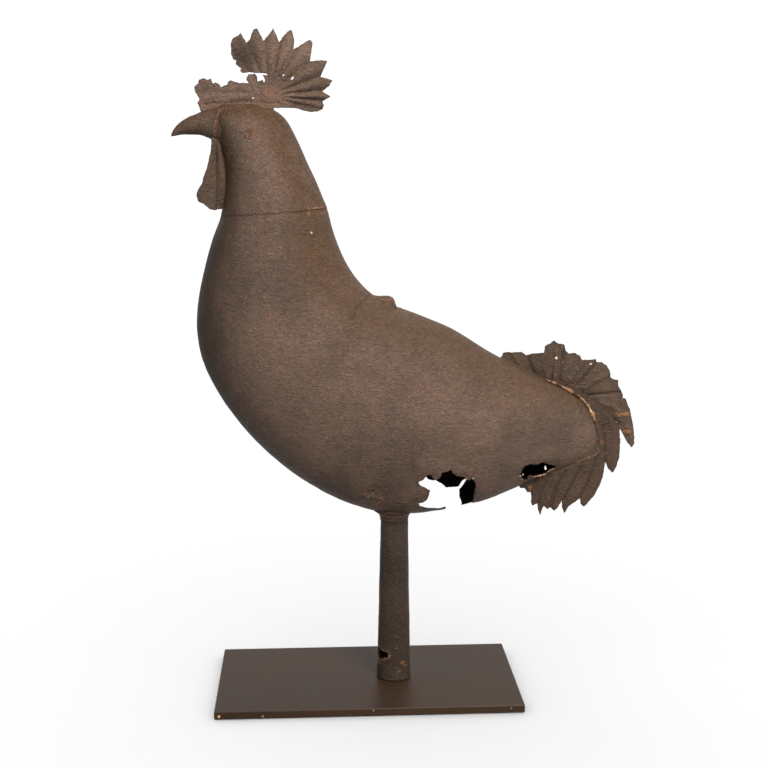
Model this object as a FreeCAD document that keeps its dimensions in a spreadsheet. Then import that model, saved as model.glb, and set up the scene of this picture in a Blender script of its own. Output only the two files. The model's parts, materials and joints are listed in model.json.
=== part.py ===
"""Rooster weather vane of rusted sheet iron, standing on a steel display plate. Millimetres, +Z up.

The origin is on the spindle's axis, at the underside of the felt that the plate stands on. The rooster
faces -X, so its left side is at -Y. The hollow bird, with its tapered socket, inner tube and bearing,
turns on a fixed steel spindle that is screwed to the plate from below.
"""
import FreeCAD, Part
import math
import os
import re
import Sketcher

from FreeCAD import Placement, Rotation, Vector

doc = FreeCAD.newDocument("weather_vane")
dims = doc.addObject("Spreadsheet::Sheet", "dims")

# ---------------------------------------------------------------- driving dimensions

SIZES = {
    # display plate, with the spindle off its centre so that the bird's weight is over its middle
    "plate_length": 380.0,
    "plate_depth": 200.0,
    "plate_thick": 9.5,
    "plate_shift": -34.4,
    "plate_edge": 0.8,
    "felt_thick": 1.0,
    "felt_inset": 4.0,
    # spindle and the screw that holds it
    "spindle_r": 8.0,
    "spindle_top": 466.0,
    "spindle_tip": 5.0,
    "thread_r": 4.0,
    "thread_deep": 24.0,
    "screw_head_r": 8.0,
    "screw_head_deep": 4.4,
    "screw_long": 26.0,
    "hex_flats": 5.0,
    "hex_deep": 3.0,
    # tapered socket under the belly
    "foot_gap": 1.2,
    "socket_foot_r": 21.6,
    "socket_mid_r": 20.4,
    "socket_mid_up": 50.0,
    "socket_top_r": 17.0,
    "socket_top": 238.0,
    "socket_wall": 2.0,
    # tube and bearings inside the bird
    "tube_r": 13.0,
    "tube_wall": 2.0,
    "tube_low": 214.0,
    "bush_high": 16.0,
    "bush_up": 6.0,
    "running_gap": 0.06,
    "bearing_high": 16.0,
    "bearing_cup": 6.0,
    # collar where the socket meets the belly
    "collar_low": 222.0,
    "collar_high": 234.0,
    "collar_r": 24.0,
    # sheet metal
    "sheet_wall": 1.5,
    "fin_thick": 1.4,
    "joint_gap": 0.3,
    "flute_deep": 5.0,
    "strip_high": 16.0,
    # eyes
    "eye_x": -172.0,
    "eye_z": 699.5,
    "eye_r": 5.0,
    "eye_high": 2.2,
    "eye_hole_r": 1.3,
    # cap over the top end of the inner tube
    "cap_x": -16.0,
    "cap_top": 504.5,
    "cap_r": 18.0,
    "cap_skirt": 22.0,
    "cap_edge_r": 3.0,
}

# Cross-sections of the three hollow forms. Each is an ellipse across the bird: the point on its upper
# or rear side, the point on its lower or front side, and its half width.
TRUNK = [
    (-81.5, 611, -209, 603, 57),
    (-75.5, 588, -217, 582, 60),
    (-65.5, 559, -227, 551, 64.5),
    (-42, 521, -239.5, 495, 71),
    (-14, 498, -239, 445, 76),
    (14, 487, -222, 397, 79),
    (42, 476, -186, 342, 80),
    (70, 464, -136, 292, 80),
    (98, 447, -78, 254, 78),
    (127, 429, -18, 233, 73),
    (157, 414, 44, 231, 65),
    (186, 400, 100, 241, 55),
    (213, 387, 150, 259, 43),
    (236, 372, 195, 277, 30),
    (250, 352, 228, 290, 18),
    (257, 333, 248, 302, 9),
    (259, 321, 257, 312, 3.5),
]
HEAD = [
    (-81.5, 611, -209, 603, 57),
    (-86, 622, -206.5, 616, 54.7),
    (-92.5, 639, -204, 635, 51.5),
    (-102.5, 661, -203, 658, 47.5),
    (-112, 683, -206, 682, 44),
    (-121.5, 703, -212, 704, 40),
    (-131, 718, -215, 719, 33),
    (-144, 727.5, -209, 729, 22),
    (-165, 733, -195, 733.5, 8),
]
BEAK = [
    (-196, 731, -204, 688, 18),
    (-222, 727, -219, 693.5, 14.5),
    (-236, 722.5, -232, 698, 11.5),
    (-249, 716.5, -244, 698.5, 8.5),
    (-258.5, 709.5, -253, 698, 5.5),
    (-264, 702, -261, 697, 2.5),
    (-266, 698, -265.2, 696.5, 0.8),
]
SECTION_PARTS = ("back_x", "back_z", "front_x", "front_z", "half")

# Outlines in the bird's middle plane, as (x, z). Tips and notches are points, and so are rust breaks.
COMB = [
    (-150, 716), (-143, 729.5), (-130, 730), (-118, 729.5), (-108, 726.5), (-100, 725), (-92, 725.5),
    (-86, 728), (-84, 733), (-85.5, 738), (-76, 743), (-86, 749), (-78, 755), (-73.5, 762), (-80, 764),
    (-88, 766), (-79.5, 784.5), (-90, 784.7), (-100, 783.5), (-97, 804), (-98.5, 808), (-102, 807.5),
    (-119, 797.5), (-118.5, 806), (-120, 818), (-123, 819.5), (-130, 813.5), (-136.5, 805.5),
    (-138, 810), (-142.5, 821), (-147, 815.5), (-154.5, 807), (-159, 816), (-161.5, 821.5),
    (-165, 821), (-168, 815), (-170, 809), (-174.5, 805), (-178, 810), (-181, 816), (-184, 813),
    (-190, 810), (-193.3, 803), (-192.7, 791), (-190, 785.5), (-187, 784.5), (-187.5, 780),
    (-181.5, 775.5), (-183, 772), (-180, 770), (-172, 771), (-166, 770), (-160, 770), (-152, 769.5),
    (-150, 767.5), (-156.5, 768), (-153.5, 762), (-155, 758.5), (-156, 762), (-162, 760.5),
    (-163, 766), (-165.5, 769), (-173, 768.5), (-176, 763), (-172.5, 758.5), (-184, 758.5),
    (-190, 760), (-193, 762), (-197, 760.5), (-198, 757), (-206, 753.5), (-207.5, 757), (-212, 759.5),
    (-215, 758), (-217, 763.5), (-222, 762), (-226, 764), (-231, 762), (-232.5, 757.5), (-237, 754),
    (-236, 748), (-231, 740), (-234, 735.5), (-232, 731), (-229.5, 724), (-220, 716),
]
COMB_HOLES = [[(-123.5, 763), (-121, 762.5), (-119, 766), (-121.5, 765.8)]]
TAIL_NEAR = [
    (190, 380), (205, 393.5), (222, 389), (238, 381), (254, 371.5), (267, 360), (278, 347), (284, 336),
    (285.5, 320), (285.3, 300), (282, 287), (277, 278), (272, 283), (267, 293), (265, 275), (261, 262),
    (254, 248), (242, 234), (238, 237), (236, 245), (229, 240), (222, 235), (217, 226), (214, 234),
    (213, 243), (209, 235), (204, 229), (199, 234), (195, 232), (190, 236), (186, 224), (183, 231),
    (182, 240), (176, 237), (173.5, 241), (174, 250), (173, 255), (168, 255), (165, 260), (159, 261),
    (155, 275), (190, 300),
]
TAIL_FAR = [
    (120, 415), (136, 427), (136.5, 431), (143, 432), (160, 432.5), (166, 428), (172, 430), (188, 431.5),
    (189, 440), (195, 443), (200, 447), (205, 443), (213, 442), (215, 434), (219, 430), (227, 430.5),
    (233, 427), (236, 422), (250, 422), (253, 423), (255, 418.5), (261, 419), (268, 414), (271.5, 408),
    (272.5, 399), (277, 397), (282.5, 396), (283, 389), (288.5, 378), (289, 373), (293, 372),
    (298.5, 358), (303, 340), (306, 322), (306, 314), (302.5, 309), (297.5, 314), (290, 328),
    (284, 338), (276, 325), (272, 296), (264, 276), (256, 252), (244, 240), (236, 250), (220, 238),
    (212, 248), (203, 236), (195, 232), (186, 238), (178, 250), (165, 262), (150, 275), (190, 300),
]
WATTLE = [
    (-208, 688), (-216.5, 691), (-218, 681), (-220.5, 671), (-223.5, 660), (-227.5, 650), (-230, 641),
    (-235.5, 633), (-237, 626.5), (-234.5, 620), (-228, 617), (-221.5, 611), (-215.5, 609.5),
    (-207, 611.5), (-196, 618), (-192, 640), (-192, 670),
]
BELLY_HOLE_NEAR = [
    (31, 268), (33, 264), (40, 261), (46, 257), (44, 250), (42, 245), (37, 241), (31, 240.5), (34, 236.5),
    (41, 234), (55, 232.6), (66, 235.5), (67, 215), (80, 215), (83, 233), (100, 240), (101, 248),
    (102, 256), (104, 263), (101, 269), (99, 272), (97, 270), (92, 270), (88, 274), (80, 275),
    (73, 280), (72.5, 284), (69, 281.5), (61, 280), (59, 274), (54, 270), (50, 272), (46, 277),
    (43, 277.5), (40, 275), (37, 271),
]
BELLY_HOLE_FAR = [
    (27, 266), (24, 258), (29, 250), (26, 243), (30, 238), (42, 235), (56, 233.5), (65, 236),
    (67, 215), (80, 215), (86, 240), (83, 250), (83, 258), (87, 263), (92, 272), (86, 269),
    (82, 262), (76, 261), (66, 261), (60, 266), (54, 270), (44, 271), (40, 276), (33, 273),
]
TAIL_HOLE_NEAR = [
    (161, 271), (163, 278), (168, 287), (173, 290), (179, 288), (192, 291), (198, 288), (205.5, 286),
    (200, 282), (195, 279), (184, 273.5), (172, 270), (166, 269),
]
TAIL_HOLE_FAR = [(189, 283), (191, 288), (193, 288), (194, 283), (191, 281)]
SOCKET_HOLE = [
    (-26, 47), (-18, 45), (-13, 41.5), (-10, 38), (-11.5, 35.5), (-15, 36.5), (-18, 34), (-26, 33),
]

# Rust breaks are drawn in the middle plane and run out to the metal along these slants, per mm of Y
BELLY_SLANT = (0.107, -0.275)
TAIL_SLANT = (0.179, -0.259)
SOCKET_SLANT = (0.051, -0.411)

# Centres that the pressed flutes spread from, as (x, z), with the number of flutes in a full turn
COMB_HUB = (-160, 742)
TAIL_HUB = (205, 368)
WATTLE_HUB = (-211, 706)
COMB_FLUTES = 24
TAIL_FLUTES = 28
WATTLE_FLUTES = 44
WATTLE_SPAN = (212.0, 324.0)

# How far the paired sheets stand off the middle plane
TAIL_OFFSET = 4.0
WATTLE_OFFSET = 9.0

# Reach of the cutting shapes: across a fluted sheet, and past the whole bird
SHEET_REACH = 40.0
FAR = 400.0

# The lap strip follows the tilt of the neck seam, a little below it
STRIP_TILT = -3.6
STRIP_DROP = 9.0


def fill_sheet():
    """Writes every driving dimension to the spreadsheet, one row each, with its alias."""
    rows = dict(SIZES)
    for prefix, sections in (("trunk", TRUNK), ("head", HEAD), ("beak", BEAK)):
        for i, values in enumerate(sections):
            for part, value in zip(SECTION_PARTS, values):
                rows[f"{prefix}{i}_{part}"] = value
    for row, (alias, value) in enumerate(rows.items(), 1):
        dims.set(f"A{row}", alias)
        dims.set(f"B{row}", str(value))
        dims.setAlias(f"B{row}", alias)
    doc.recompute()
    return set(rows)


ALIASES = fill_sheet()


def size(alias):
    return float(getattr(dims, alias))


def formula(text):
    """The expression text with each alias pointed at the spreadsheet."""
    return re.sub(r"[a-z]\w*", lambda m: f"dims.{m[0]}" if m[0] in ALIASES else m[0], text)


def bind(obj, **expressions):
    for prop, text in expressions.items():
        obj.setExpression(prop.replace("__", "."), formula(text))


# ---------------------------------------------------------------- ways of making a piece

def named(obj, label):
    obj.Label = label
    return obj


def new_body(name):
    body = doc.addObject("PartDesign::Body", name)
    doc.recompute()
    return body


def origin_plane(body, role):
    return next(o for o in body.Origin.OriginFeatures if o.Role == role)


def new_sketch(body, name, role="XZ_Plane"):
    sketch = body.newObject("Sketcher::SketchObject", name)
    sketch.AttachmentSupport = [(origin_plane(body, role), "")]
    sketch.MapMode = "FlatFace"
    doc.recompute()
    return sketch


def draw_profile(sketch, corners):
    """A closed outline whose corners are pairs of expressions, each held to the sketch's origin."""
    values = [[float(dims.evalExpression(formula(t))) for t in c] for c in corners]
    n = len(corners)
    for i in range(n):
        a, b = values[i], values[(i + 1) % n]
        sketch.addGeometry(Part.LineSegment(Vector(*a, 0), Vector(*b, 0)), False)
    for i in range(n):
        sketch.addConstraint(Sketcher.Constraint("Coincident", i, 2, (i + 1) % n, 1))
    for i, (tx, ty) in enumerate(corners):
        x, y = values[i]
        for kind, text, value, axis in (("DistanceX", tx, x, -2), ("DistanceY", ty, y, -1)):
            if text == "0":
                sketch.addConstraint(Sketcher.Constraint("PointOnObject", i, 1, axis))
            else:
                k = sketch.addConstraint(Sketcher.Constraint(kind, -1, 1, i, 1, value))
                sketch.setExpression(f"Constraints[{k}]", formula(text))
    doc.recompute()


def turned_body(name, corners):
    """A piece turned about the Z axis, from a profile of (radius, height) expressions."""
    body = new_body(name)
    sketch = new_sketch(body, name + "_profile")
    draw_profile(sketch, corners)
    turn = body.newObject("PartDesign::Revolution", name + "_turn")
    turn.Profile = sketch
    turn.ReferenceAxis = (sketch, ["V_Axis"])
    turn.Angle = 360.0
    sketch.Visibility = False
    doc.recompute()
    return body


def half_ellipses(prefix, count, inset, tag):
    """The right-hand halves of a form's ellipses, each in its own tilted plane and drawn in by inset."""
    made = []
    for i in range(count):
        bx, bz, fx, fz, half = (f"{prefix}{i}_{p}" for p in SECTION_PARTS)
        arc = doc.addObject("Part::Ellipse", f"{prefix}_{tag}_arc{i}")
        arc.Placement = Placement(Vector(0, 0, 0), Rotation(Vector(0, 1, 0), 90))
        arc.Angle2 = 180.0
        bind(
            arc,
            MajorRadius=f"sqrt(({bx} - {fx})^2 + ({bz} - {fz})^2) / 2 - ({inset})",
            MinorRadius=f"{half} - ({inset})",
            Placement__Base__x=f"({bx} + {fx}) / 2",
            Placement__Base__z=f"({bz} + {fz}) / 2",
            Placement__Rotation__Angle=f"atan2({bz} - {fz}; {fx} - {bx})",
        )
        chord = doc.addObject("Part::Line", f"{prefix}_{tag}_chord{i}")
        bind(
            chord, X1=f"-{arc.Name}.MajorRadius", Y1="0", Z1="0",
            X2=f"{arc.Name}.MajorRadius", Y2="0", Z2="0", Placement=f"{arc.Name}.Placement",
        )
        section = doc.addObject("Part::Compound", f"{prefix}_{tag}_section{i}")
        section.Links = [arc, chord]
        made.append(section)
    return made


def hollow_form(prefix, count, inset, tag):
    """Both halves of a form lofted through its sections, as left and right solids."""
    right = doc.addObject("Part::Loft", f"{prefix}_{tag}_right")
    right.Sections = half_ellipses(prefix, count, inset, tag)
    right.Solid = True
    right.Ruled = False
    left = doc.addObject("Part::Mirroring", f"{prefix}_{tag}_left")
    left.Source = right
    left.Normal = Vector(0, 1, 0)
    return {"left": left, "right": right}


def both(name, halves):
    """The two halves of a form as one solid."""
    made = doc.addObject("Part::MultiFuse", name)
    made.Shapes = [halves["left"], halves["right"]]
    made.Refine = True
    return made


def combine(kind, name, base, tool):
    made = doc.addObject(f"Part::{kind}", name)
    made.Base = base
    made.Tool = tool
    return made


def prism(name, outline, y_low, y_high, slant=(0.0, 0.0)):
    """The outline in the middle plane, carried from y_low to y_high along a slant."""
    way = Vector(slant[0], 1, slant[1])
    wire = doc.addObject("Part::Polygon", name + "_outline")
    wire.Nodes = [Vector(x, 0, z) + way * y_low for x, z in outline]
    wire.Close = True
    made = doc.addObject("Part::Extrusion", name)
    made.Base = wire
    made.DirMode = "Custom"
    made.Dir = way
    made.LengthFwd = (y_high - y_low) * way.Length
    made.Solid = True
    return made


def fluted_disc(name, hub, flutes, reach, y_mid, span=(0.0, 360.0)):
    """A sheet pleated like a fan, closed or part of a turn, thick enough to be a solid."""
    thick, deep = size("fin_thick"), size("flute_deep")
    closed = span[1] - span[0] >= 360.0
    count = 2 * flutes if closed else max(2, round(2 * flutes * (span[1] - span[0]) / 360.0))

    def rim(i, side):
        a = math.radians(span[0] + (span[1] - span[0]) * i / count)
        y = y_mid + side * thick / 2 + (deep / 2 if i % 2 else -deep / 2) * reach / 100.0
        return Vector(hub[0] + reach * math.cos(a), y, hub[1] + reach * math.sin(a))

    def face(*points):
        return Part.Face(Part.makePolygon([*points, points[0]]))

    centre = [Vector(hub[0], y_mid + s * thick / 2, hub[1]) for s in (-1, 1)]
    faces = []
    for i in range(count):
        j = (i + 1) % count if closed else i + 1
        a0, b0, a1, b1 = rim(i, -1), rim(j, -1), rim(i, 1), rim(j, 1)
        faces += [face(centre[0], a0, b0), face(centre[1], b1, a1), face(a0, a1, b1, b0)]
    if not closed:
        faces += [face(centre[0], centre[1], rim(0, 1), rim(0, -1))]
        faces += [face(centre[0], rim(count, -1), rim(count, 1), centre[1])]
    made = doc.addObject("Part::Feature", name)
    made.Shape = Part.Solid(Part.Shell(faces))
    return made


# ---------------------------------------------------------------- display plate and spindle

def make_base_plate():
    body = new_body("plate_body")
    sketch = new_sketch(body, "plate_outline", "XY_Plane")
    x0, x1 = "plate_shift - plate_length / 2", "plate_shift + plate_length / 2"
    y0, y1 = "-plate_depth / 2", "plate_depth / 2"
    draw_profile(sketch, [(x0, y0), (x1, y0), (x1, y1), (x0, y1)])
    pad = body.newObject("PartDesign::Pad", "plate_pad")
    pad.Profile = sketch
    bind(pad, Length="plate_thick")
    bind(body, Placement__Base__z="felt_thick")
    doc.recompute()
    corners = [f"Edge{i + 1}" for i in range(len(pad.Shape.Edges))]
    edge = body.newObject("PartDesign::Chamfer", "plate_eased_edges")
    edge.Base = (pad, corners)
    bind(edge, Size="plate_edge")
    doc.recompute()
    sink = new_sketch(body, "screw_sink_profile")
    head, shank = "screw_head_r + 0.3", "thread_r + 0.3"
    draw_profile(sink, [
        ("0", "-2"), (head, "-2"), (head, "0.6"), (shank, "screw_head_deep + 0.6"),
        (shank, "plate_thick + 2"), ("0", "plate_thick + 2"),
    ])
    cut = body.newObject("PartDesign::Groove", "screw_sink")
    cut.Profile = sink
    cut.ReferenceAxis = (sink, ["V_Axis"])
    cut.Angle = 360.0
    return named(body, "base_plate")


def make_felt_pad():
    felt = doc.addObject("Part::Box", "felt_sheet")
    bind(
        felt,
        Length="plate_length - 2 * felt_inset",
        Width="plate_depth - 2 * felt_inset",
        Height="felt_thick",
        Placement__Base__x="plate_shift - plate_length / 2 + felt_inset",
        Placement__Base__y="felt_inset - plate_depth / 2",
    )
    return named(felt, "felt_pad")


def make_spindle():
    low = "felt_thick + plate_thick"
    tip = "spindle_top - spindle_tip"
    body = turned_body("spindle_body", [
        ("thread_r", low), ("spindle_r", low), ("spindle_r", tip), ("1.5", "spindle_top"),
        ("0", "spindle_top"), ("0", f"{low} + thread_deep"), ("thread_r", f"{low} + thread_deep"),
    ])
    return named(body, "spindle")


def make_spindle_screw():
    low = "felt_thick + 0.4"
    shank = "thread_r - 0.1"
    body = turned_body("screw_body", [
        ("0", low), ("screw_head_r", low), ("screw_head_r", f"{low} + 0.4"),
        (shank, f"{low} + screw_head_deep"), (shank, f"{low} + screw_long"), ("0", f"{low} + screw_long"),
    ])
    hexagon = new_sketch(body, "screw_hexagon", "XY_Plane")
    r = size("hex_flats") / math.sqrt(3)
    ends = [Rotation(Vector(0, 0, 1), 60 * i).multVec(Vector(r, 0, 0)) for i in range(6)]
    for i in range(6):
        hexagon.addGeometry(Part.LineSegment(ends[i], ends[(i + 1) % 6]), False)
    for i in range(6):
        hexagon.addConstraint(Sketcher.Constraint("Coincident", i, 2, (i + 1) % 6, 1))
    bind(hexagon, AttachmentOffset__Base__z="felt_thick + 0.4 + hex_deep")
    pocket = body.newObject("PartDesign::Pocket", "screw_socket")
    pocket.Profile = hexagon
    bind(pocket, Length="hex_deep + 1")
    doc.recompute()
    return named(body, "spindle_screw")


# ---------------------------------------------------------------- socket, tube and bearings

def make_socket_tube():
    foot = "felt_thick + plate_thick + foot_gap"
    mid = f"{foot} + socket_mid_up"
    wall = "socket_wall"
    body = turned_body("socket_body", [
        (f"socket_foot_r - {wall}", foot), ("socket_foot_r", foot), ("socket_mid_r", mid),
        ("socket_top_r", "socket_top"), (f"socket_top_r - {wall}", "socket_top"),
        (f"socket_mid_r - {wall}", mid),
    ])
    hole = prism("socket_rust", SOCKET_HOLE, -FAR / 10, 0.0, SOCKET_SLANT)
    return named(combine("Cut", "socket_with_rust", body, hole), "socket_tube")


def make_guide_bush():
    foot = "felt_thick + plate_thick + foot_gap + bush_up"
    inner = "spindle_r + running_gap"
    outer = "socket_mid_r - socket_wall - 0.05"
    body = turned_body("bush_body", [
        (inner, foot), (outer, foot), (outer, f"{foot} + bush_high"), (inner, f"{foot} + bush_high"),
    ])
    return named(body, "guide_bush")


def make_inner_tube(trunk_inside):
    tube = turned_body("tube_body", [
        ("tube_r - tube_wall", "tube_low"), ("tube_r", "tube_low"),
        ("tube_r", "spindle_top + 60"), ("tube_r - tube_wall", "spindle_top + 60"),
    ])
    below = doc.addObject("Part::Cylinder", "tube_below_body")
    bind(
        below, Radius="tube_r + 2", Height="spindle_top - 100 - tube_low + 2",
        Placement__Base__z="tube_low - 1",
    )
    reach = doc.addObject("Part::MultiFuse", "tube_reach")
    reach.Shapes = [trunk_inside, below]
    return named(combine("Common", "tube_scribed", tube, reach), "inner_tube")


def make_top_bearing():
    seat = "spindle_top"
    outer = "tube_r - tube_wall - 0.02"
    body = turned_body("bearing_body", [
        ("0", f"{seat} + 0.05"), ("1.9", f"{seat} + 0.05"),
        ("spindle_r + 0.4", f"{seat} - spindle_tip + 0.05"),
        ("spindle_r + 0.4", f"{seat} - bearing_cup"), (outer, f"{seat} - bearing_cup"),
        (outer, f"{seat} + bearing_high - bearing_cup"),
        ("0", f"{seat} + bearing_high - bearing_cup"),
    ])
    return named(body, "top_bearing")


def make_tube_spacer():
    """The ring that centres the inner tube in the top of the socket."""
    outer = "socket_top_r - socket_wall - 0.05"
    body = turned_body("ring_body", [
        ("tube_r + 0.02", "socket_top - 12"), (outer, "socket_top - 12"), (outer, "socket_top - 2"),
        ("tube_r + 0.02", "socket_top - 2"),
    ])
    return named(body, "tube_spacer")


def make_belly_collar(trunk_clear):
    inner = "socket_top_r + 0.75"
    body = turned_body("collar_body", [
        (inner, "collar_low"), (f"{inner} + 0.8", "collar_low"), (f"{inner} + 2", "collar_low + 4"),
        (f"{inner} + 4", "collar_low + 7.5"), ("collar_r", "collar_high - 3"),
        ("collar_r", "collar_high + 12"), (inner, "collar_high + 12"),
    ])
    return named(combine("Cut", "collar_scribed", body, trunk_clear), "belly_collar")


# ---------------------------------------------------------------- hollow body, head and beak

def hollow_forms():
    """The outer, inner and clearance solids that the shells and what meets them are cut with."""
    wall = "sheet_wall"
    trunk_n, head_n, beak_n = len(TRUNK), len(HEAD), len(BEAK)
    return {
        "trunk_out": hollow_form("trunk", trunk_n, "0", "out"),
        "trunk_in": hollow_form("trunk", trunk_n - 2, wall, "in"),
        "trunk_clear": both("trunk_clearance", hollow_form("trunk", trunk_n, "-joint_gap", "clear")),
        "trunk_core": both("trunk_core", hollow_form("trunk", trunk_n - 2, f"{wall} + joint_gap", "core")),
        "head_out": hollow_form("head", head_n, "0", "out"),
        "head_in": hollow_form("head", head_n - 1, wall, "in"),
        "head_clear": both("head_clearance", hollow_form("head", head_n, "-joint_gap", "clear")),
        "beak_out": both("beak_outside", hollow_form("beak", beak_n, "0", "out")),
        "beak_in": both("beak_inside", hollow_form("beak", beak_n - 2, wall, "in")),
        "beak_clear": both("beak_clearance", hollow_form("beak", beak_n, "-joint_gap", "clear")),
    }


def half_shell(name, forms, prefix, side):
    return combine("Cut", name, forms[f"{prefix}_out"][side], forms[f"{prefix}_in"][side])


def make_trunk(forms):
    """The two pressed halves of the body, with the socket's opening and the rust holes cut away."""
    made = []
    for side, belly, tail in (
        ("left", BELLY_HOLE_NEAR, TAIL_HOLE_NEAR),
        ("right", BELLY_HOLE_FAR, TAIL_HOLE_FAR),
    ):
        y_low, y_high = (-FAR / 2, 0.0) if side == "left" else (0.0, FAR / 2)
        bore = doc.addObject("Part::Cylinder", f"belly_bore_{side}")
        bind(
            bore, Radius="socket_top_r + 0.75", Height="socket_top - tube_low + 20",
            Placement__Base__z="tube_low - 10",
        )
        holes = doc.addObject("Part::MultiFuse", f"openings_{side}")
        holes.Shapes = [
            bore,
            prism(f"belly_rust_{side}", belly, y_low, y_high, BELLY_SLANT),
            prism(f"tail_rust_{side}", tail, y_low, y_high, TAIL_SLANT),
        ]
        shell = half_shell(f"trunk_{side}_shell", forms, "trunk", side)
        made.append(named(combine("Cut", f"trunk_{side}_open", shell, holes), f"body_{side}"))
    return made


def make_head(forms):
    return [named(half_shell(f"head_{s}_shell", forms, "head", s), f"head_{s}") for s in ("left", "right")]


def make_neck_strip(forms):
    """The lap strip inside the seam between neck and body, which the two are soldered to."""
    count = len(TRUNK) - 2
    hollow = both("strip_hollow", hollow_form("trunk", count, "2 * sheet_wall + joint_gap", "hollow"))
    ring = combine("Cut", "strip_ring", forms["trunk_core"], hollow)
    slab = doc.addObject("Part::Box", "strip_slab")
    slab.Length = FAR
    slab.Width = FAR
    bind(slab, Height="strip_high")
    slab.Placement = Placement(Vector(-FAR * 0.9, -FAR / 2, 0), Rotation(Vector(0, 1, 0), STRIP_TILT))
    bind(slab, Placement__Base__z=f"trunk0_front_z - 1.1 * strip_high - {STRIP_DROP}")
    return named(combine("Common", "strip_cut", ring, slab), "neck_strip")


def make_beak(forms):
    shell = combine("Cut", "beak_shell", forms["beak_out"], forms["beak_in"])
    return named(combine("Cut", "beak_scribed", shell, forms["head_clear"]), "beak")


# ---------------------------------------------------------------- fluted sheets

def fluted_piece(label, outline, hub, flutes, y_mid, less=(), holes=(), span=(0.0, 360.0), reach=200.0):
    """A fluted sheet trimmed to its outline, clear of the hollow forms it is soldered to."""
    disc = fluted_disc(f"{label}_flutes", hub, flutes, reach, y_mid, span)
    y_low, y_high = y_mid - SHEET_REACH, y_mid + SHEET_REACH
    trimmed = combine("Common", f"{label}_trimmed", disc, prism(f"{label}_area", outline, y_low, y_high))
    for i, hole in enumerate(holes):
        cutter = prism(f"{label}_hole{i}", hole, y_low, y_high)
        trimmed = combine("Cut", f"{label}_holed{i}", trimmed, cutter)
    for i, form in enumerate(less):
        trimmed = combine("Cut", f"{label}_scribed{i}", trimmed, form)
    return named(trimmed, label)


def make_fins(forms):
    trunk, head = forms["trunk_clear"], forms["head_clear"]
    made = [
        fluted_piece("comb", COMB, COMB_HUB, COMB_FLUTES, 0.0, [head, forms["beak_clear"]], COMB_HOLES),
        fluted_piece("tail_left", TAIL_NEAR, TAIL_HUB, TAIL_FLUTES, -TAIL_OFFSET, [trunk]),
        fluted_piece("tail_right", TAIL_FAR, TAIL_HUB, TAIL_FLUTES, TAIL_OFFSET, [trunk]),
    ]
    for side, sign in (("left", -1), ("right", 1)):
        made.append(fluted_piece(
            f"wattle_{side}", WATTLE, WATTLE_HUB, WATTLE_FLUTES, sign * WATTLE_OFFSET,
            [head, forms["beak_clear"]], span=WATTLE_SPAN,
        ))
    return made


# ---------------------------------------------------------------- eyes and back cap

def make_eyes(head_clear):
    """A raised washer on each side of the head, open in the middle."""
    made = []
    for side, sign in (("left", -1), ("right", 1)):
        body = turned_body(f"eye_{side}_body", [
            ("eye_hole_r", "0"), ("eye_r", "0"), ("eye_r", "eye_high - 0.8"), ("eye_r - 1.2", "eye_high"),
            ("eye_hole_r + 0.9", "eye_high"), ("eye_hole_r", "eye_high - 1"),
        ])
        body.Placement = Placement(Vector(0, 0, 0), Rotation(Vector(1, 0, 0), -90.0 * sign))
        bind(body, Placement__Base__x="eye_x", Placement__Base__z="eye_z")
        body.Placement.Base.y = sign * surface_y(HEAD, size("eye_x"), size("eye_z"))
        made.append(named(combine("Cut", f"eye_{side}_seated", body, head_clear), f"eye_{side}"))
    return made


def surface_y(sections, x, z):
    """Half width of a form at (x, z) in its side view, between the two nearest sections."""
    best = None
    for i in range(len(sections) - 1):
        for step in range(21):
            t = step / 20
            s = [a + (b - a) * t for a, b in zip(sections[i], sections[i + 1])]
            mid = Vector((s[0] + s[2]) / 2, 0, (s[1] + s[3]) / 2)
            chord = Vector(s[2] - s[0], 0, s[3] - s[1])
            off = Vector(x, 0, z) - mid
            along = off.dot(chord) / chord.Length
            across = abs(off.x * chord.z - off.z * chord.x) / chord.Length
            ratio = min(1.0, abs(along) / (chord.Length / 2))
            if best is None or across < best[0]:
                best = (across, s[4] * math.sqrt(1 - ratio * ratio))
    return best[1]


def make_back_cap(trunk_clear):
    """A flat oval cap over the back, level on top, with a skirt that meets the sloping sheet."""
    cap = doc.addObject("Part::Cylinder", "back_cap_disc")
    bind(
        cap, Radius="cap_r", Height="cap_skirt",
        Placement__Base__x="cap_x", Placement__Base__z="cap_top - cap_skirt",
    )
    top = doc.addObject("Part::Fillet", "back_cap_eased")
    top.Base = cap
    doc.recompute()
    rim = next(
        i + 1 for i, e in enumerate(cap.Shape.Edges)
        if e.BoundBox.ZLength < 1e-6 and e.BoundBox.ZMin > cap.Placement.Base.z + 1
    )
    top.Edges = [(rim, size("cap_edge_r"), size("cap_edge_r"))]
    return named(combine("Cut", "back_cap_scribed", top, trunk_clear), "back_cap")


# ---------------------------------------------------------------- assembly

def build():
    forms = hollow_forms()
    pieces = [
        make_base_plate(), make_felt_pad(), make_spindle(), make_spindle_screw(),
        make_socket_tube(), make_guide_bush(), make_inner_tube(forms["trunk_core"]), make_top_bearing(),
        make_tube_spacer(), make_belly_collar(forms["trunk_clear"]),
    ]
    pieces += make_trunk(forms) + make_head(forms)
    pieces += [make_neck_strip(forms), make_beak(forms)]
    pieces += make_fins(forms) + make_eyes(forms["head_clear"])
    pieces.append(make_back_cap(forms["trunk_clear"]))
    doc.recompute()
    return pieces


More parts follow.
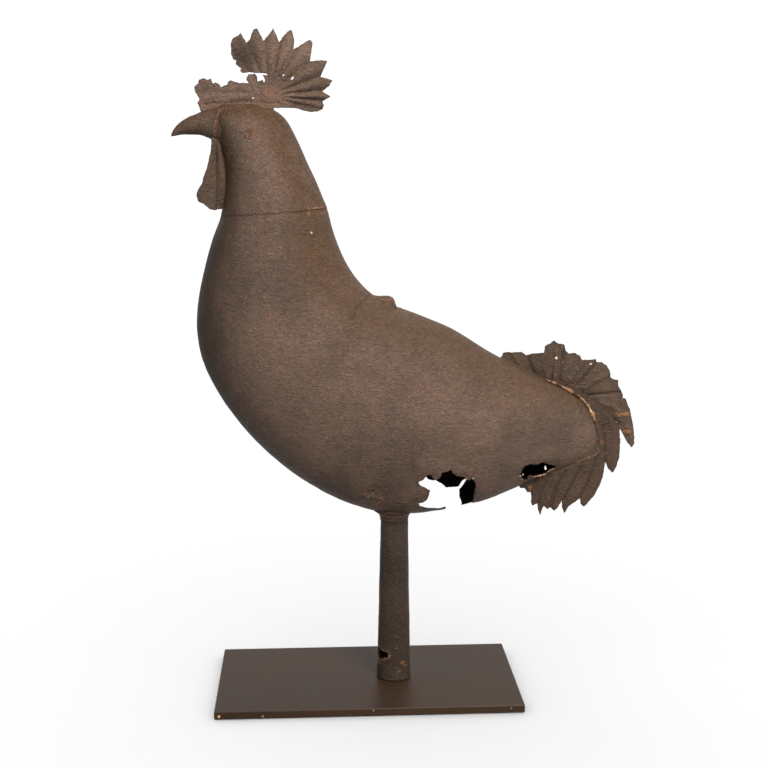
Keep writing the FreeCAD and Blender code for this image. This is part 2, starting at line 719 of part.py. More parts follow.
def export(pieces):
    bad = [o.Name for o in doc.Objects if "Invalid" in o.State or "Error" in o.State]
    if bad:
        raise SystemExit(f"these objects failed: {bad}")
    os.makedirs("parts", exist_ok=True)
    for piece in pieces:
        shape = piece.Shape
        if shape.isNull() or not shape.isValid():
            raise SystemExit(f"{piece.Label} has no valid shape")
        solids = shape.Solids
        print(f"{piece.Label:15s} solids {len(solids)}  volume {shape.Volume / 1000:9.2f} cm3")
        Part.makeCompound(solids).exportStep(f"parts/{piece.Label}.step")


export(build())
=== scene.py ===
"""Rooster weather vane of rusted sheet iron on its display plate: the visual model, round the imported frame.

Shapes are worked out in millimetres in the part's own frame and turned into metres when a mesh is made.
"""
import json
import math

import bmesh
import bpy
import numpy as np
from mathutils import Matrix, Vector
from mathutils.kdtree import KDTree

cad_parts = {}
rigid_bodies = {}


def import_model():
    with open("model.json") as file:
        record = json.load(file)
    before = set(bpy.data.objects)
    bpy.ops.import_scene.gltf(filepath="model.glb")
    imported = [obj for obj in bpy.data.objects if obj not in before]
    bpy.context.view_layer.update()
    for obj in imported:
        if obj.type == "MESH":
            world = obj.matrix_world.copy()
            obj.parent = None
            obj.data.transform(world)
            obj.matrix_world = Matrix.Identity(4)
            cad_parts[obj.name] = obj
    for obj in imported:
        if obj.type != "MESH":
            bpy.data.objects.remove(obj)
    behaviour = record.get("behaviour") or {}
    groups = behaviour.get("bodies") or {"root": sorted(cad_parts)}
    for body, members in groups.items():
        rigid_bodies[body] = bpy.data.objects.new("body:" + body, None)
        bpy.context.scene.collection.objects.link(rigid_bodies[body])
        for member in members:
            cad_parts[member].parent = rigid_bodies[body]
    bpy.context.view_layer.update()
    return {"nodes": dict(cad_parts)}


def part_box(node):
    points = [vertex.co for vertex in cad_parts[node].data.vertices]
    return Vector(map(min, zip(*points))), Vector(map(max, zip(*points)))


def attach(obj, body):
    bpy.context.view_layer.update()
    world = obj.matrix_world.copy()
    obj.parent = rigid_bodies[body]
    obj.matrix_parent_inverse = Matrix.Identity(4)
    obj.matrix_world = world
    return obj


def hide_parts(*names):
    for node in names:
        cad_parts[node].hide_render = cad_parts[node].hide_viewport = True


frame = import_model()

MM = 0.001
SHEET = 1.5
SOCKET_SHEET = 2.0
NEAR, FAR = -1, 1
SIDES = ((NEAR, "left"), (FAR, "right"))

# ------------------------------------------------------------------ the form of the bird

# Cross-sections from the crown to the tail: upper or rear point (x, z), lower or front point, half width
SECTIONS = [
    (-180, 734.2, -180.5, 734.2, 0.3),
    (-165, 733, -195, 733.5, 9),
    (-144, 727.5, -209, 729, 22),
    (-131, 718, -215, 719, 33),
    (-121.5, 703, -212, 704, 40),
    (-112, 683, -206, 682, 44),
    (-102.5, 661, -203, 658, 47.5),
    (-92.5, 639, -204, 635, 51.5),
    (-86, 622, -206.5, 616, 54.7),
    (-81.5, 611, -209, 603, 57),
    (-75.5, 588, -217, 582, 60),
    (-65.5, 559, -227, 551, 64.5),
    (-42, 521, -239.5, 495, 71),
    (-14, 498, -239, 445, 76),
    (14, 487, -222, 397, 79),
    (42, 476, -186, 342, 80),
    (70, 464, -136, 292, 80),
    (98, 447, -78, 254, 78),
    (127, 429, -18, 233, 73),
    (157, 414, 44, 231, 65),
    (186, 400, 100, 241, 55),
    (213, 387, 150, 259, 43),
    (236, 372, 195, 277, 30),
    (250, 352, 228, 290, 18),
    (257, 333, 248, 302, 9),
    (258.8, 318, 258, 314, 1.5),
]
NECK_SEAM = 9
BEAK = [
    (-196, 731, -204, 688, 18),
    (-222, 727, -219, 693.5, 14.5),
    (-236, 722.5, -232, 698, 11.5),
    (-249, 716.5, -244, 698.5, 8.5),
    (-258.5, 709.5, -253, 698, 5.5),
    (-264, 702, -261, 697, 2.5),
    (-266, 698, -265.2, 696.5, 0.6),
]

# Outlines in the bird's middle plane, (x, z)
COMB = [
    (-150, 716), (-143, 729.5), (-130, 730), (-118, 729.5), (-108, 726.5), (-100, 725), (-92, 725.5),
    (-86, 728), (-84, 733), (-85.5, 738), (-76, 743), (-86, 749), (-78, 755), (-73.5, 762), (-80, 764),
    (-88, 766), (-79.5, 784.5), (-90, 784.7), (-100, 783.5), (-97, 804), (-98.5, 808), (-102, 807.5),
    (-119, 797.5), (-118.5, 806), (-120, 818), (-123, 819.5), (-130, 813.5), (-136.5, 805.5),
    (-138, 810), (-142.5, 820.8), (-147, 815.5), (-154.5, 807), (-159, 816), (-161.5, 820.8),
    (-165, 820.5), (-168, 815), (-170, 809), (-174.5, 805), (-178, 810), (-181, 816), (-184, 813),
    (-190, 810), (-193.3, 803), (-192.7, 791), (-190, 785.5), (-187, 784.5), (-187.5, 780),
    (-181.5, 775.5), (-183, 772), (-180, 770), (-172, 771), (-166, 770), (-160, 770), (-152, 769.5),
    (-150, 767.5), (-156.5, 768), (-153.5, 762), (-155, 758.5), (-156, 762), (-162, 760.5),
    (-163, 766), (-165.5, 769), (-173, 768.5), (-176, 763), (-172.5, 758.5), (-184, 758.5),
    (-190, 760), (-193, 762), (-197, 760.5), (-198, 757), (-206, 753.5), (-207.5, 757), (-212, 759.5),
    (-215, 758), (-217, 763.5), (-222, 762), (-226, 764), (-231, 762), (-232.5, 757.5), (-237, 754),
    (-236, 748), (-231, 740), (-234, 735.5), (-232, 731), (-229.5, 724), (-220, 716),
]
COMB_HOLES = [
    [(-123.5, 763), (-121, 762.5), (-119, 766), (-121.5, 765.8)],
    [(-133, 767), (-131.5, 766.5), (-130.5, 768.5), (-132, 769)],
]
TAIL_NEAR = [
    (190, 380), (205, 393.5), (222, 389), (238, 381), (254, 371.5), (267, 360), (278, 347), (284, 336),
    (285.5, 320), (285.3, 300), (282, 287), (277, 278), (272, 283), (267, 293), (265, 275), (261, 262),
    (254, 248), (242, 234), (238, 237), (236, 245), (229, 240), (222, 235), (217, 226), (214, 234),
    (213, 243), (209, 235), (204, 229), (199, 234), (195, 232), (190, 236), (186, 224), (183, 231),
    (182, 240), (176, 237), (173.5, 241), (174, 250), (173, 255), (168, 255), (165, 260), (159, 261),
    (155, 275), (190, 300),
]
TAIL_FAR = [
    (120, 415), (136, 427), (136.5, 431), (143, 432), (160, 432.5), (166, 428), (172, 430), (188, 431.5),
    (189, 440), (195, 443), (200, 447), (205, 443), (213, 442), (215, 434), (219, 430), (227, 430.5),
    (233, 427), (236, 422), (250, 422), (253, 423), (255, 418.5), (261, 419), (268, 414), (271.5, 408),
    (272.5, 399), (277, 397), (282.5, 396), (283, 389), (288.5, 378), (289, 373), (293, 372),
    (298.5, 358), (303, 340), (305.5, 322), (305.5, 314), (302.5, 309), (297.5, 314), (290, 328),
    (284, 338), (276, 325), (272, 296), (264, 276), (256, 252), (244, 240), (236, 250), (220, 238),
    (212, 248), (203, 236), (195, 232), (186, 238), (178, 250), (165, 262), (150, 275), (190, 300),
]
WATTLE = [
    (-206, 694), (-218, 696), (-218, 681), (-220.5, 671), (-223.5, 660), (-227.5, 650), (-230, 641),
    (-235.5, 633), (-237, 626.5), (-234.5, 620), (-228, 617), (-221.5, 611), (-215.5, 609.5),
    (-207, 611.5), (-196, 618), (-192, 640), (-192, 670),
]
BELLY_HOLE_NEAR = [
    (31, 268), (33, 264), (40, 261), (46, 257), (44, 250), (42, 245), (37, 241), (31, 240.5), (34, 236.5),
    (41, 234), (55, 232.6), (66, 235.5), (67, 215), (80, 215), (83, 233), (100, 240), (101, 248),
    (102, 256), (104, 263), (101, 269), (99, 272), (97, 270), (92, 270), (88, 274), (80, 275),
    (73, 280), (72.5, 284), (69, 281.5), (61, 280), (59, 274), (54, 270), (50, 272), (46, 277),
    (43, 277.5), (40, 275), (37, 271),
]
BELLY_HOLE_FAR = [
    (27, 266), (24, 258), (29, 250), (26, 243), (30, 238), (42, 235), (56, 233.5), (65, 236),
    (67, 215), (80, 215), (86, 240), (83, 250), (83, 258), (87, 263), (92, 272), (86, 269),
    (82, 262), (76, 261), (66, 261), (60, 266), (54, 270), (44, 271), (40, 276), (33, 273),
]
TAIL_HOLE_NEAR = [
    (161, 277.3), (163, 283), (166, 287), (172.3, 289.5), (177, 288.5), (182, 289), (188.3, 291.5),
    (196.3, 288.6), (204.4, 287), (205, 284.8), (196.3, 281.6), (192.2, 278.5), (185.1, 276), (177.1, 273.8),
    (172.3, 275.5), (169.6, 274), (169.1, 270), (164.2, 269.1), (162, 272.5),
]
TAIL_HOLES_FAR = [
    [(190.9, 282), (191.2, 285), (192, 288.2), (193.4, 285), (193.6, 282)],
    [(163.2, 275), (163.4, 277), (164.4, 276.8), (164.2, 275.2)],
]
SOCKET_HOLE = [
    (-26, 54), (-20.5, 53), (-19, 49), (-16, 45), (-11.5, 42.5), (-8, 42.5), (-5.8, 39.5), (-6, 35.5),
    (-9, 33.5), (-12.5, 35), (-14, 32), (-18, 32.5), (-26, 33),
]
PINHOLES = [(-28, 257.8, 0.9), (160.5, 276, 1.0)]

# The point the breaks are laid out from: outlines above are where they seem to lie in the middle plane
EYE_POINT = np.array([-98.2, -1579.3, 689.6])

# Holes through each half of the body
HOLES = {NEAR: (BELLY_HOLE_NEAR, TAIL_HOLE_NEAR), FAR: (BELLY_HOLE_FAR, *TAIL_HOLES_FAR)}

# Marks on the near side: bends in the sheet, lines of red rust as run, width and strength (the first few
# stand up a little), chips of bare metal as (x, z, radius), and the neck seam
CREASE = [(-33, 509), (-42, 498), (-49, 486), (-53, 477)]
REAR_FOLD = [(184, 330), (196, 326), (204, 329)]
RUST_LINES = [
    ([(-41, 254), (-32, 252), (-22.5, 250), (-15, 247)], 1.6, 0.8),
    ([(-15, 247), (-19, 241), (-25, 236)], 1.8, 0.95),
    ([(-21, 247), (-14, 247.5), (-8, 246.5)], 1.2, 0.8),
    ([(5, 244), (14, 241.5), (20, 241)], 1.1, 0.75),
    ([(23, 237), (30, 239), (34, 241)], 1.8, 0.6),
    ([(-33, 507.5), (-36, 504), (-40, 500)], 1.4, 0.9),
    ([(66, 347), (70, 349)], 1.5, 0.6),
    ([(102, 268), (101, 255), (97, 243)], 3.5, 0.5),
]
RAISED_LINES = RUST_LINES[:5]
CHIPS = [
    (-27.6, 254.9, 1.5), (-32.3, 249.7, 0.8), (90.8, 271.1, 1.1), (100.2, 271.8, 1.3), (31, 269, 0.9),
    (161, 275, 1.6), (163, 270, 1.0), (-16, 480, 0.8), (-100, 581, 1.4),
]
SEAM_RUN = [(-204.1, 605.9), (-81.4, 612.7)]

# Where the body runs out onto the tail sheets, below and round the rear
REAR_BELLY = [(100, 241), (150, 259), (195, 277), (228, 290), (248, 302), (258, 314)]
REAR_ARC = [
    (136, 426.5), (150, 418.5), (170, 408), (190, 398.5), (208, 390.5), (220, 384), (235, 374), (245, 363),
    (251, 351), (255, 340), (258, 328), (259, 315), (256.5, 305), (250, 297), (243, 290),
]

# The comb's flutes fan out from its hub through these valleys and ridges in turn
COMB_HUB = (-149, 744)
COMB_MARKS = [
    (-66, 724), (-80, 729), (-86, 738), (-76, 743), (-86, 749.5), (-73.5, 762), (-88, 766),
    (-79.5, 784.5), (-100, 783.5), (-98, 807), (-119, 797.5), (-121, 819), (-137, 805.5), (-143, 821),
    (-154.5, 807), (-163, 821), (-174.5, 805), (-183, 815), (-196, 800),
]

# Strokes on the sheets: run, width, and how far they lie back from the near side
COMB_STROKES = [
    ([(-227, 734), (-214, 736), (-198, 735), (-182, 738), (-170, 737)], 1.8, 1.5),
    ([(-226, 741), (-210, 744), (-190, 742), (-172, 744)], 2.4, -0.9),
    ([(-215, 750), (-200, 748), (-186, 750), (-176, 748)], 1.8, 0.8),
    ([(-163, 737), (-150, 736), (-136, 735)], 1.8, 1.1),
]
FAR_STROKES = [
    ([(201, 392), (201, 405), (202.5, 420), (202, 433)], 1.7, -2.2),
    ([(209, 395), (210, 410), (212, 432)], 3.4, 1.7),
    ([(231, 390), (243, 404), (256, 420)], 2.6, 2.0),
    ([(222, 398), (234, 413), (240, 421)], 3.4, -1.8),
    ([(240, 385), (256, 397), (272, 404)], 3.2, -2.0),
    ([(245, 376), (262, 378), (284, 380)], 1.9, 2.4),
    ([(180, 398), (172, 414), (168, 427)], 3.0, 1.6),
    ([(193, 398), (188, 414), (186, 430)], 3.2, -1.5),
    ([(160, 412), (152, 424), (148, 431)], 2.8, -1.5),
    ([(262, 366), (276, 362), (292, 350)], 3.6, -1.9),
    ([(270, 352), (277, 346), (284, 339)], 2.0, 1.8),
    ([(283, 350), (293, 340), (301, 322)], 3.4, -1.6),
]
NEAR_STROKES = [
    ([(262, 340), (265, 322), (266, 306), (267, 293)], 1.7, 1.8),
    ([(256, 303), (252, 284), (245, 264), (237, 247)], 1.8, 1.7),
    ([(236, 287), (228, 270), (221, 254), (214, 243)], 1.8, 1.7),
    ([(216, 282), (208, 265), (203, 248), (199, 235)], 1.7, 1.5),
    ([(196, 277), (190, 262), (186, 250), (183, 240)], 1.6, 1.4),
    ([(178, 272), (175, 260), (174, 252)], 1.5, 1.0),
    ([(268, 352), (276, 335), (278, 305), (277, 284)], 4.2, -1.7),
    ([(264, 300), (260, 275), (251, 253), (243, 240)], 4.0, -1.7),
    ([(242, 272), (233, 254), (224, 238)], 3.8, -1.5),
    ([(224, 270), (215, 250), (207, 234)], 3.4, -1.4),
    ([(205, 270), (197, 252), (191, 238)], 3.2, -1.3),
]

# Places on the sheets: x, z, reach along x, reach along z, rust (darker where negative), bare metal
COMB_SPOTS = [
    (-158, 736, 40, 7, 0.55, 0.0), (-205, 728, 16, 5, 0.7, 0.0), (-150, 748, 14, 10, 0.6, 0.25),
    (-118, 768, 7, 5, 0.5, 0.35), (-168, 741, 1.2, 1.2, 0.5, 1.2), (-141, 768, 5, 3, 0.4, 0.5),
    # The specks of bare metal at (-122, 786) and (-135, 790) are painted glints on the right-hand feathers.
    (-122, 786, 9, 13, 0.2, 0.24), (-135, 790, 5, 13, 0.1, 0.2), (-176, 792, 20, 20, -0.6, 0.0),
    (-110, 733, 20, 6, -0.3, 0.0), (-222, 752, 14, 8, -0.35, 0.0),
    (-210, 740, 24, 5, 0.5, 0.0), (-226, 734, 8, 6, 0.55, 0.0), (-166, 755, 10, 8, 0.45, 0.1),
]
FAR_SPOTS = [
    (202, 408, 1.6, 16, 0.75, 0.35), (203, 425, 2.0, 2.2, 0.5, 1.2), (212, 419, 1.0, 1.0, 0.4, 1.1),
    (288, 352, 14, 3.2, 0.85, 0.1), (296, 330, 8, 3.4, 0.85, 0.2), (288, 371, 3, 7, 0.7, 0.45),
    (247, 417, 3, 2, 0.4, 0.8), (282, 341, 1.6, 1.2, 0.3, 1.3), (222, 396, 10, 3, 0.5, 0.15),
]
NEAR_SPOTS = [
    (262, 318, 6, 9, 0.55, 0.15), (252, 292, 7, 5, 0.5, 0.2), (222, 272, 5, 5, 0.45, 0.15),
    (196, 246, 2.2, 6, 0.7, 0.3), (206, 238, 1.6, 5, 0.7, 0.3), (172, 262, 6, 7, 0.6, 0.25),
    (190, 272, 20, 3, 0.45, 0.15),
]
FAR_SPOTS += [(x + 3, z + 2, 6, 6, 0.5, 0.14) for x, z in REAR_ARC[4:12]]


# ------------------------------------------------------------------ numbers

def lattice(ix, iy, iz, seed):
    """A repeatable random number from -1 to 1 for each whole-number grid point."""
    h = (ix * 374761393 + iy * 668265263 + iz * 1103515245 + seed * 974634777) & 0xFFFFFFFF
    h = ((h ^ (h >> 13)) * 1274126177) & 0xFFFFFFFF
    return (h ^ (h >> 16)) / 0x7FFFFFFF - 1.0


def noise(p, size, seed=0, octaves=1):
    """Smooth noise from about -1 to 1 at points p, with features of the given size in mm."""
    total, gain = np.zeros(p.shape[:-1]), 1.0
    for octave in range(octaves):
        q = p / size * 2 ** octave
        cell = np.floor(q).astype(np.int64)
        f = q - cell
        w = f * f * (3 - 2 * f)
        value = np.zeros(p.shape[:-1])
        for corner in range(8):
            bits = np.array([corner & 1, corner >> 1 & 1, corner >> 2 & 1])
            share = np.prod(np.where(bits, w, 1 - w), axis=-1)
            value += share * lattice(*np.moveaxis(cell + bits, -1, 0), seed + octave)
        total += value * gain
        gain *= 0.5
    return total


def smooth(x, low, high):
    """0 below low, 1 above high, with an even rise between."""
    t = np.clip((x - low) / (high - low), 0, 1)
    return t * t * (3 - 2 * t)


def hill(distance, width):
    """1 at no distance, and almost nothing from twice the width on."""
    return np.exp(-(distance / width) ** 2)


def turns(count):
    """Evenly spaced angles, once round."""
    return np.linspace(0, 2 * math.pi, count, endpoint=False)


def steps_to_end(count):
    """How many steps each place in a run is from the nearer end."""
    return np.minimum(np.arange(count), np.arange(count)[::-1])


def spline(points, count):
    """Rows joined by a natural cubic. A section's two edge points set its spacing from the next."""
    p = np.array(points, float)
    move = np.diff(p, axis=0)
    if p.shape[1] == 3:
        step = np.linalg.norm(move, axis=1)
    else:
        step = (np.hypot(*move[:, :2].T) + np.hypot(*move[:, 2:4].T)) / 2
    t = np.r_[0, np.cumsum(step)]
    n, h = len(p), np.diff(t)
    a, b = np.zeros((n, n)), np.zeros_like(p)
    a[0, 0] = a[-1, -1] = 1
    for i in range(1, n - 1):
        a[i, i - 1:i + 2] = h[i - 1], 2 * (h[i - 1] + h[i]), h[i]
        b[i] = 6 * ((p[i + 1] - p[i]) / h[i] - (p[i] - p[i - 1]) / h[i - 1])
    m = np.linalg.solve(a, b)
    s = np.linspace(0, t[-1], count)
    k = np.clip(np.searchsorted(t, s, side="right") - 1, 0, n - 2)
    u, v, hk = (t[k + 1] - s)[:, None], (s - t[k])[:, None], h[k][:, None]
    rows = (m[k] * u ** 3 + m[k + 1] * v ** 3) / (6 * hk)
    rows += (p[k] / hk - m[k] * hk / 6) * u + (p[k + 1] / hk - m[k + 1] * hk / 6) * v
    return rows, t, s


def in_plan(p):
    """Where points seem to lie in the middle plane from EYE_POINT, as (x, z)."""
    t = -EYE_POINT[1] / (p[:, 1] - EYE_POINT[1])
    return (EYE_POINT + (p - EYE_POINT) * t[:, None])[:, [0, 2]]


def line_distance(q, line, closed=False):
    """Distance of each (x, z) in q from a run of points."""
    line = np.array(line, float)
    ends = np.r_[line[1:], line[:1]] if closed else line[1:]
    best = np.full(len(q), 1e9)
    for a, b in zip(line, ends):
        along = np.clip(((q - a) @ (b - a)) / max((b - a) @ (b - a), 1e-9), 0, 1)
        best = np.minimum(best, np.hypot(*(q - a - along[:, None] * (b - a)).T))
    return best


def ragged(outline, step=1.6, amount=0.45, seed=1):
    """The outline divided into short steps, each moved a little, as rust leaves an edge."""
    line = np.array(outline, float)
    points = []
    for a, b in zip(line, np.r_[line[1:], line[:1]]):
        n = max(1, int(np.hypot(*(b - a)) / step))
        points += [a + (b - a) * k / n for k in range(n)]
    points = np.array(points)
    at = np.c_[points[:, 0], np.zeros(len(points)), points[:, 1]]
    shift = np.c_[noise(at, 2.1, seed, 2), noise(at, 2.1, seed + 40, 2)]
    return points + shift * amount


# ------------------------------------------------------------------ meshes

def new_piece(name, points, faces, smooth_faces=True):
    """A mesh from points in millimetres; a closed shape is turned to face outward."""
    mesh = bpy.data.meshes.new(name)
    mesh.from_pydata((np.asarray(points) * MM).tolist(), [], faces)
    mesh.validate()
    shape = bmesh.new()
    shape.from_mesh(mesh)
    if shape.calc_volume(signed=True) < 0:
        bmesh.ops.reverse_faces(shape, faces=shape.faces)
        shape.to_mesh(mesh)
    shape.free()
    mesh.polygons.foreach_set("use_smooth", [smooth_faces] * len(mesh.polygons))
    mesh.update()
    obj = bpy.data.objects.new(name, mesh)
    bpy.context.scene.collection.objects.link(obj)
    return obj


def grid_faces(rows, cols, start=0, flip=False, wrap=False):
    """The four-sided faces of a grid of points, joined round on itself where wrap is set."""
    faces = []
    for i in range(rows - 1):
        for j in range(cols if wrap else cols - 1):
            k = (j + 1) % cols
            a, b = start + i * cols + j, start + i * cols + k
            quad = (a, b, b + cols, a + cols)
            faces.append(quad[::-1] if flip else quad)
    return faces


def slab(outer, inner):
    """Points and faces of a closed sheet between two grids of points."""
    rows, cols = outer.shape[:2]
    n = rows * cols
    faces = grid_faces(rows, cols) + grid_faces(rows, cols, n, flip=True)
    rim = [(0, j) for j in range(cols)] + [(i, cols - 1) for i in range(1, rows)]
    rim += [(rows - 1, j) for j in range(cols - 2, -1, -1)] + [(i, 0) for i in range(rows - 2, 0, -1)]
    loop = [i * cols + j for i, j in rim]
    for a, b in zip(loop, loop[1:] + loop[:1]):
        faces.append((b, a, a + n, b + n))
    return np.r_[outer.reshape(-1, 3), inner.reshape(-1, 3)], faces


def tube(rings):
    """Points and faces of a solid through closed rings of points."""
    rows, cols = rings.shape[:2]
    faces = grid_faces(rows, cols, flip=True, wrap=True)
    points = np.r_[rings.reshape(-1, 3), rings[0].mean(0)[None], rings[-1].mean(0)[None]]
    first, last = len(points) - 2, len(points) - 1
    base = (rows - 1) * cols
    for j in range(cols):
        k = (j + 1) % cols
        faces.append((first, j, k))
        faces.append((last, base + k, base + j))
    return points, faces


def lathe(profile, centre=(0, 0), around=72, relief=None):
    """A turned solid about a vertical axis; the profile is a closed run of (radius, height)."""
    profile = np.array(profile, float)
    angle = turns(around)
    ring = np.stack([np.cos(angle), np.sin(angle)], -1)
    rings = np.zeros((len(profile), around, 3))
    rings[..., :2] = profile[:, None, :1] * ring[None] + np.array(centre)
    rings[..., 2] = profile[:, None, 1]
    if relief is not None:
        rings[..., :2] += ring[None] * relief(rings)[..., None]
    rows = len(profile)
    faces = []
    for i in range(rows):
        for j in range(around):
            k, m = (j + 1) % around, (i + 1) % rows
            faces.append((i * around + j, i * around + k, m * around + k, m * around + j))
    return rings.reshape(-1, 3), faces


def settle(obj):
    """Applies the object's modifiers to its mesh."""
    graph = bpy.context.evaluated_depsgraph_get()
    mesh = bpy.data.meshes.new_from_object(obj.evaluated_get(graph))
    obj.modifiers.clear()
    obj.data = mesh


def cut(obj, operation, *tools, keep=False):
    """Cuts away, or trims to, each tool, and drops the tools unless they are kept."""
    for tool in tools:
        mod = obj.modifiers.new("cut", "BOOLEAN")
        mod.object = tool
        mod.operation = operation
        mod.solver = "MANIFOLD"
        settle(obj)
        if not keep:
            bpy.data.objects.remove(tool)


def drop_crumbs(obj):
    """Takes away bits of sheet that the cuts have left loose, all but the largest."""
    shape = bmesh.new()
    shape.from_mesh(obj.data)
    left, islands = set(shape.verts), []
    while left:
        island, front = set(), [left.pop()]
        while front:
            point = front.pop()
            island.add(point)
            beside = {edge.other_vert(point) for edge in point.link_edges} & left
            left -= beside
            front.extend(beside)
        islands.append(island)
    for crumb in sorted(islands, key=len)[:-1]:
        bmesh.ops.delete(shape, geom=list(crumb), context="VERTS")
    shape.to_mesh(obj.data)
    shape.free()


def prism(outline, near_y, far_y, seen=True):
    """A cutter with the outline in the middle plane, spreading from EYE_POINT or straight through."""
    line = np.array(outline, float)
    flat = np.c_[line[:, 0], np.zeros(len(line)), line[:, 1]]
    ends = []
    for y in (near_y, far_y):
        if seen:
            ends.append(EYE_POINT + (flat - EYE_POINT) * (1 - y / EYE_POINT[1]))
        else:
            ends.append(flat + np.array([0, y, 0]))
    n = len(line)
    faces = [(i, (i + 1) % n, n + (i + 1) % n, n + i) for i in range(n)]
    faces += [tuple(range(n))[::-1], tuple(range(n, 2 * n))]
    return new_piece("cutter", np.r_[ends[0], ends[1]], faces, False)


def spot_outline(x, z, radius, count=9):
    """A small round outline."""
    return [(x + radius * math.cos(a), z + radius * math.sin(a)) for a in turns(count)]


def per_point(obj, what):
    """One of the mesh's vectors on each point, "co" or "normal"."""
    flat = np.empty(len(obj.data.vertices) * 3)
    obj.data.vertices.foreach_get(what, flat)
    return flat.reshape(-1, 3)


def points_of(obj):
    """The mesh's points in millimetres."""
    return per_point(obj, "co") / MM


def paint(obj, rust=0.0, bare=0.0, dust_and_shading=0.0, scale_and_shade=0.0):
    """Stores four numbers from 0 to 1 on each point, for the materials to read."""
    count = len(obj.data.vertices)
    for name, value in (("rust", rust), ("bare", bare), ("dust_and_shading", dust_and_shading), ("scale_and_shade", scale_and_shade)):
        layer = obj.data.attributes.new(name, "FLOAT", "POINT")
        layer.data.foreach_set("value", np.full(count, np.clip(value, 0, 1), np.float32))


# ------------------------------------------------------------------ materials

class Nodes:
    """A material's node tree, built by short calls."""

    def __init__(self, name):
        self.material = bpy.data.materials.new(name)
        self.material.use_nodes = True
        self.tree = self.material.node_tree
        self.tree.nodes.clear()
        self.shader = self.add("ShaderNodeBsdfPrincipled")
        out = self.add("ShaderNodeOutputMaterial")
        self.join(self.shader.outputs[0], out.inputs["Surface"])
        self.place = self.add("ShaderNodeTexCoord").outputs["Object"]

    def add(self, kind, **values):
        node = self.tree.nodes.new(kind)
        for key, value in values.items():
            setattr(node, key, value)
        return node

    def join(self, source, socket):
        """Links another node's output to a socket, or sets the socket to a number or colour."""
        if isinstance(source, (int, float)):
            socket.default_value = source
        elif isinstance(source, tuple):
            opaque = (1.0,) * (len(socket.default_value) - len(source))
            socket.default_value = source + opaque
        else:
            self.tree.links.new(source, socket)

    def shade(self, name, source):
        """Links or sets one of the shader's own sockets."""
        self.join(source, self.shader.inputs[name])

    def stretch(self, scale, turn=(0, 0, 0)):
        """Object coordinates, stretched and turned."""
        node = self.add("ShaderNodeMapping")
        self.join(self.place, node.inputs["Vector"])
        node.inputs["Scale"].default_value = scale
        node.inputs["Rotation"].default_value = turn
        return node.outputs[0]

    def noise(self, scale, detail=3.0, rough=0.55, distort=0.0, at=None):
        node = self.add("ShaderNodeTexNoise")
        self.join(at or self.place, node.inputs["Vector"])
        keys = ("Scale", "Detail", "Roughness", "Distortion")
        for key, value in zip(keys, (scale, detail, rough, distort)):
            node.inputs[key].default_value = value
        return node.outputs["Fac"]

    def range(self, value, low, high, to_low=0.0, to_high=1.0):
        """Maps low..high smoothly to to_low..to_high."""
        node = self.add("ShaderNodeMapRange", interpolation_type="SMOOTHSTEP")
        self.join(value, node.inputs["Value"])
        for key, number in zip(("From Min", "From Max", "To Min", "To Max"), (low, high, to_low, to_high)):
            node.inputs[key].default_value = number
        return node.outputs["Result"]

    def math(self, kind, a, b=0.0):
        node = self.add("ShaderNodeMath", operation=kind)
        self.join(a, node.inputs[0])
        self.join(b, node.inputs[1])
        return node.outputs[0]

    def times(self, a, b):
        return self.math("MULTIPLY", a, b)

    def plus(self, a, b):
        return self.math("ADD", a, b)

    def mix(self, share, a, b, kind="MIX"):
        """Colour a with a share of b mixed in."""
        node = self.add("ShaderNodeMix", data_type="RGBA", blend_type=kind)
        self.join(share, node.inputs["Factor"])
        self.join(a, node.inputs[6])
        self.join(b, node.inputs[7])
        return node.outputs[2]

    def painted(self, name):
        """A number that paint() stored on the points."""
        return self.add("ShaderNodeAttribute", attribute_name=name).outputs["Fac"]

    def bump(self, height, distance, strength=1.0):
        node = self.add("ShaderNodeBump")
        node.inputs["Distance"].default_value = distance
        node.inputs["Strength"].default_value = strength
        self.join(height, node.inputs["Height"])
        self.join(node.outputs[0], self.shader.inputs["Normal"])


BARE = (0.36, 0.27, 0.18)
# Near black: iron scale on beads and broken edges, and painted shade in creases, valleys, hollows and
# undersides.
BLACK_SCALE_AND_SHADE = (0.004, 0.003, 0.0025)


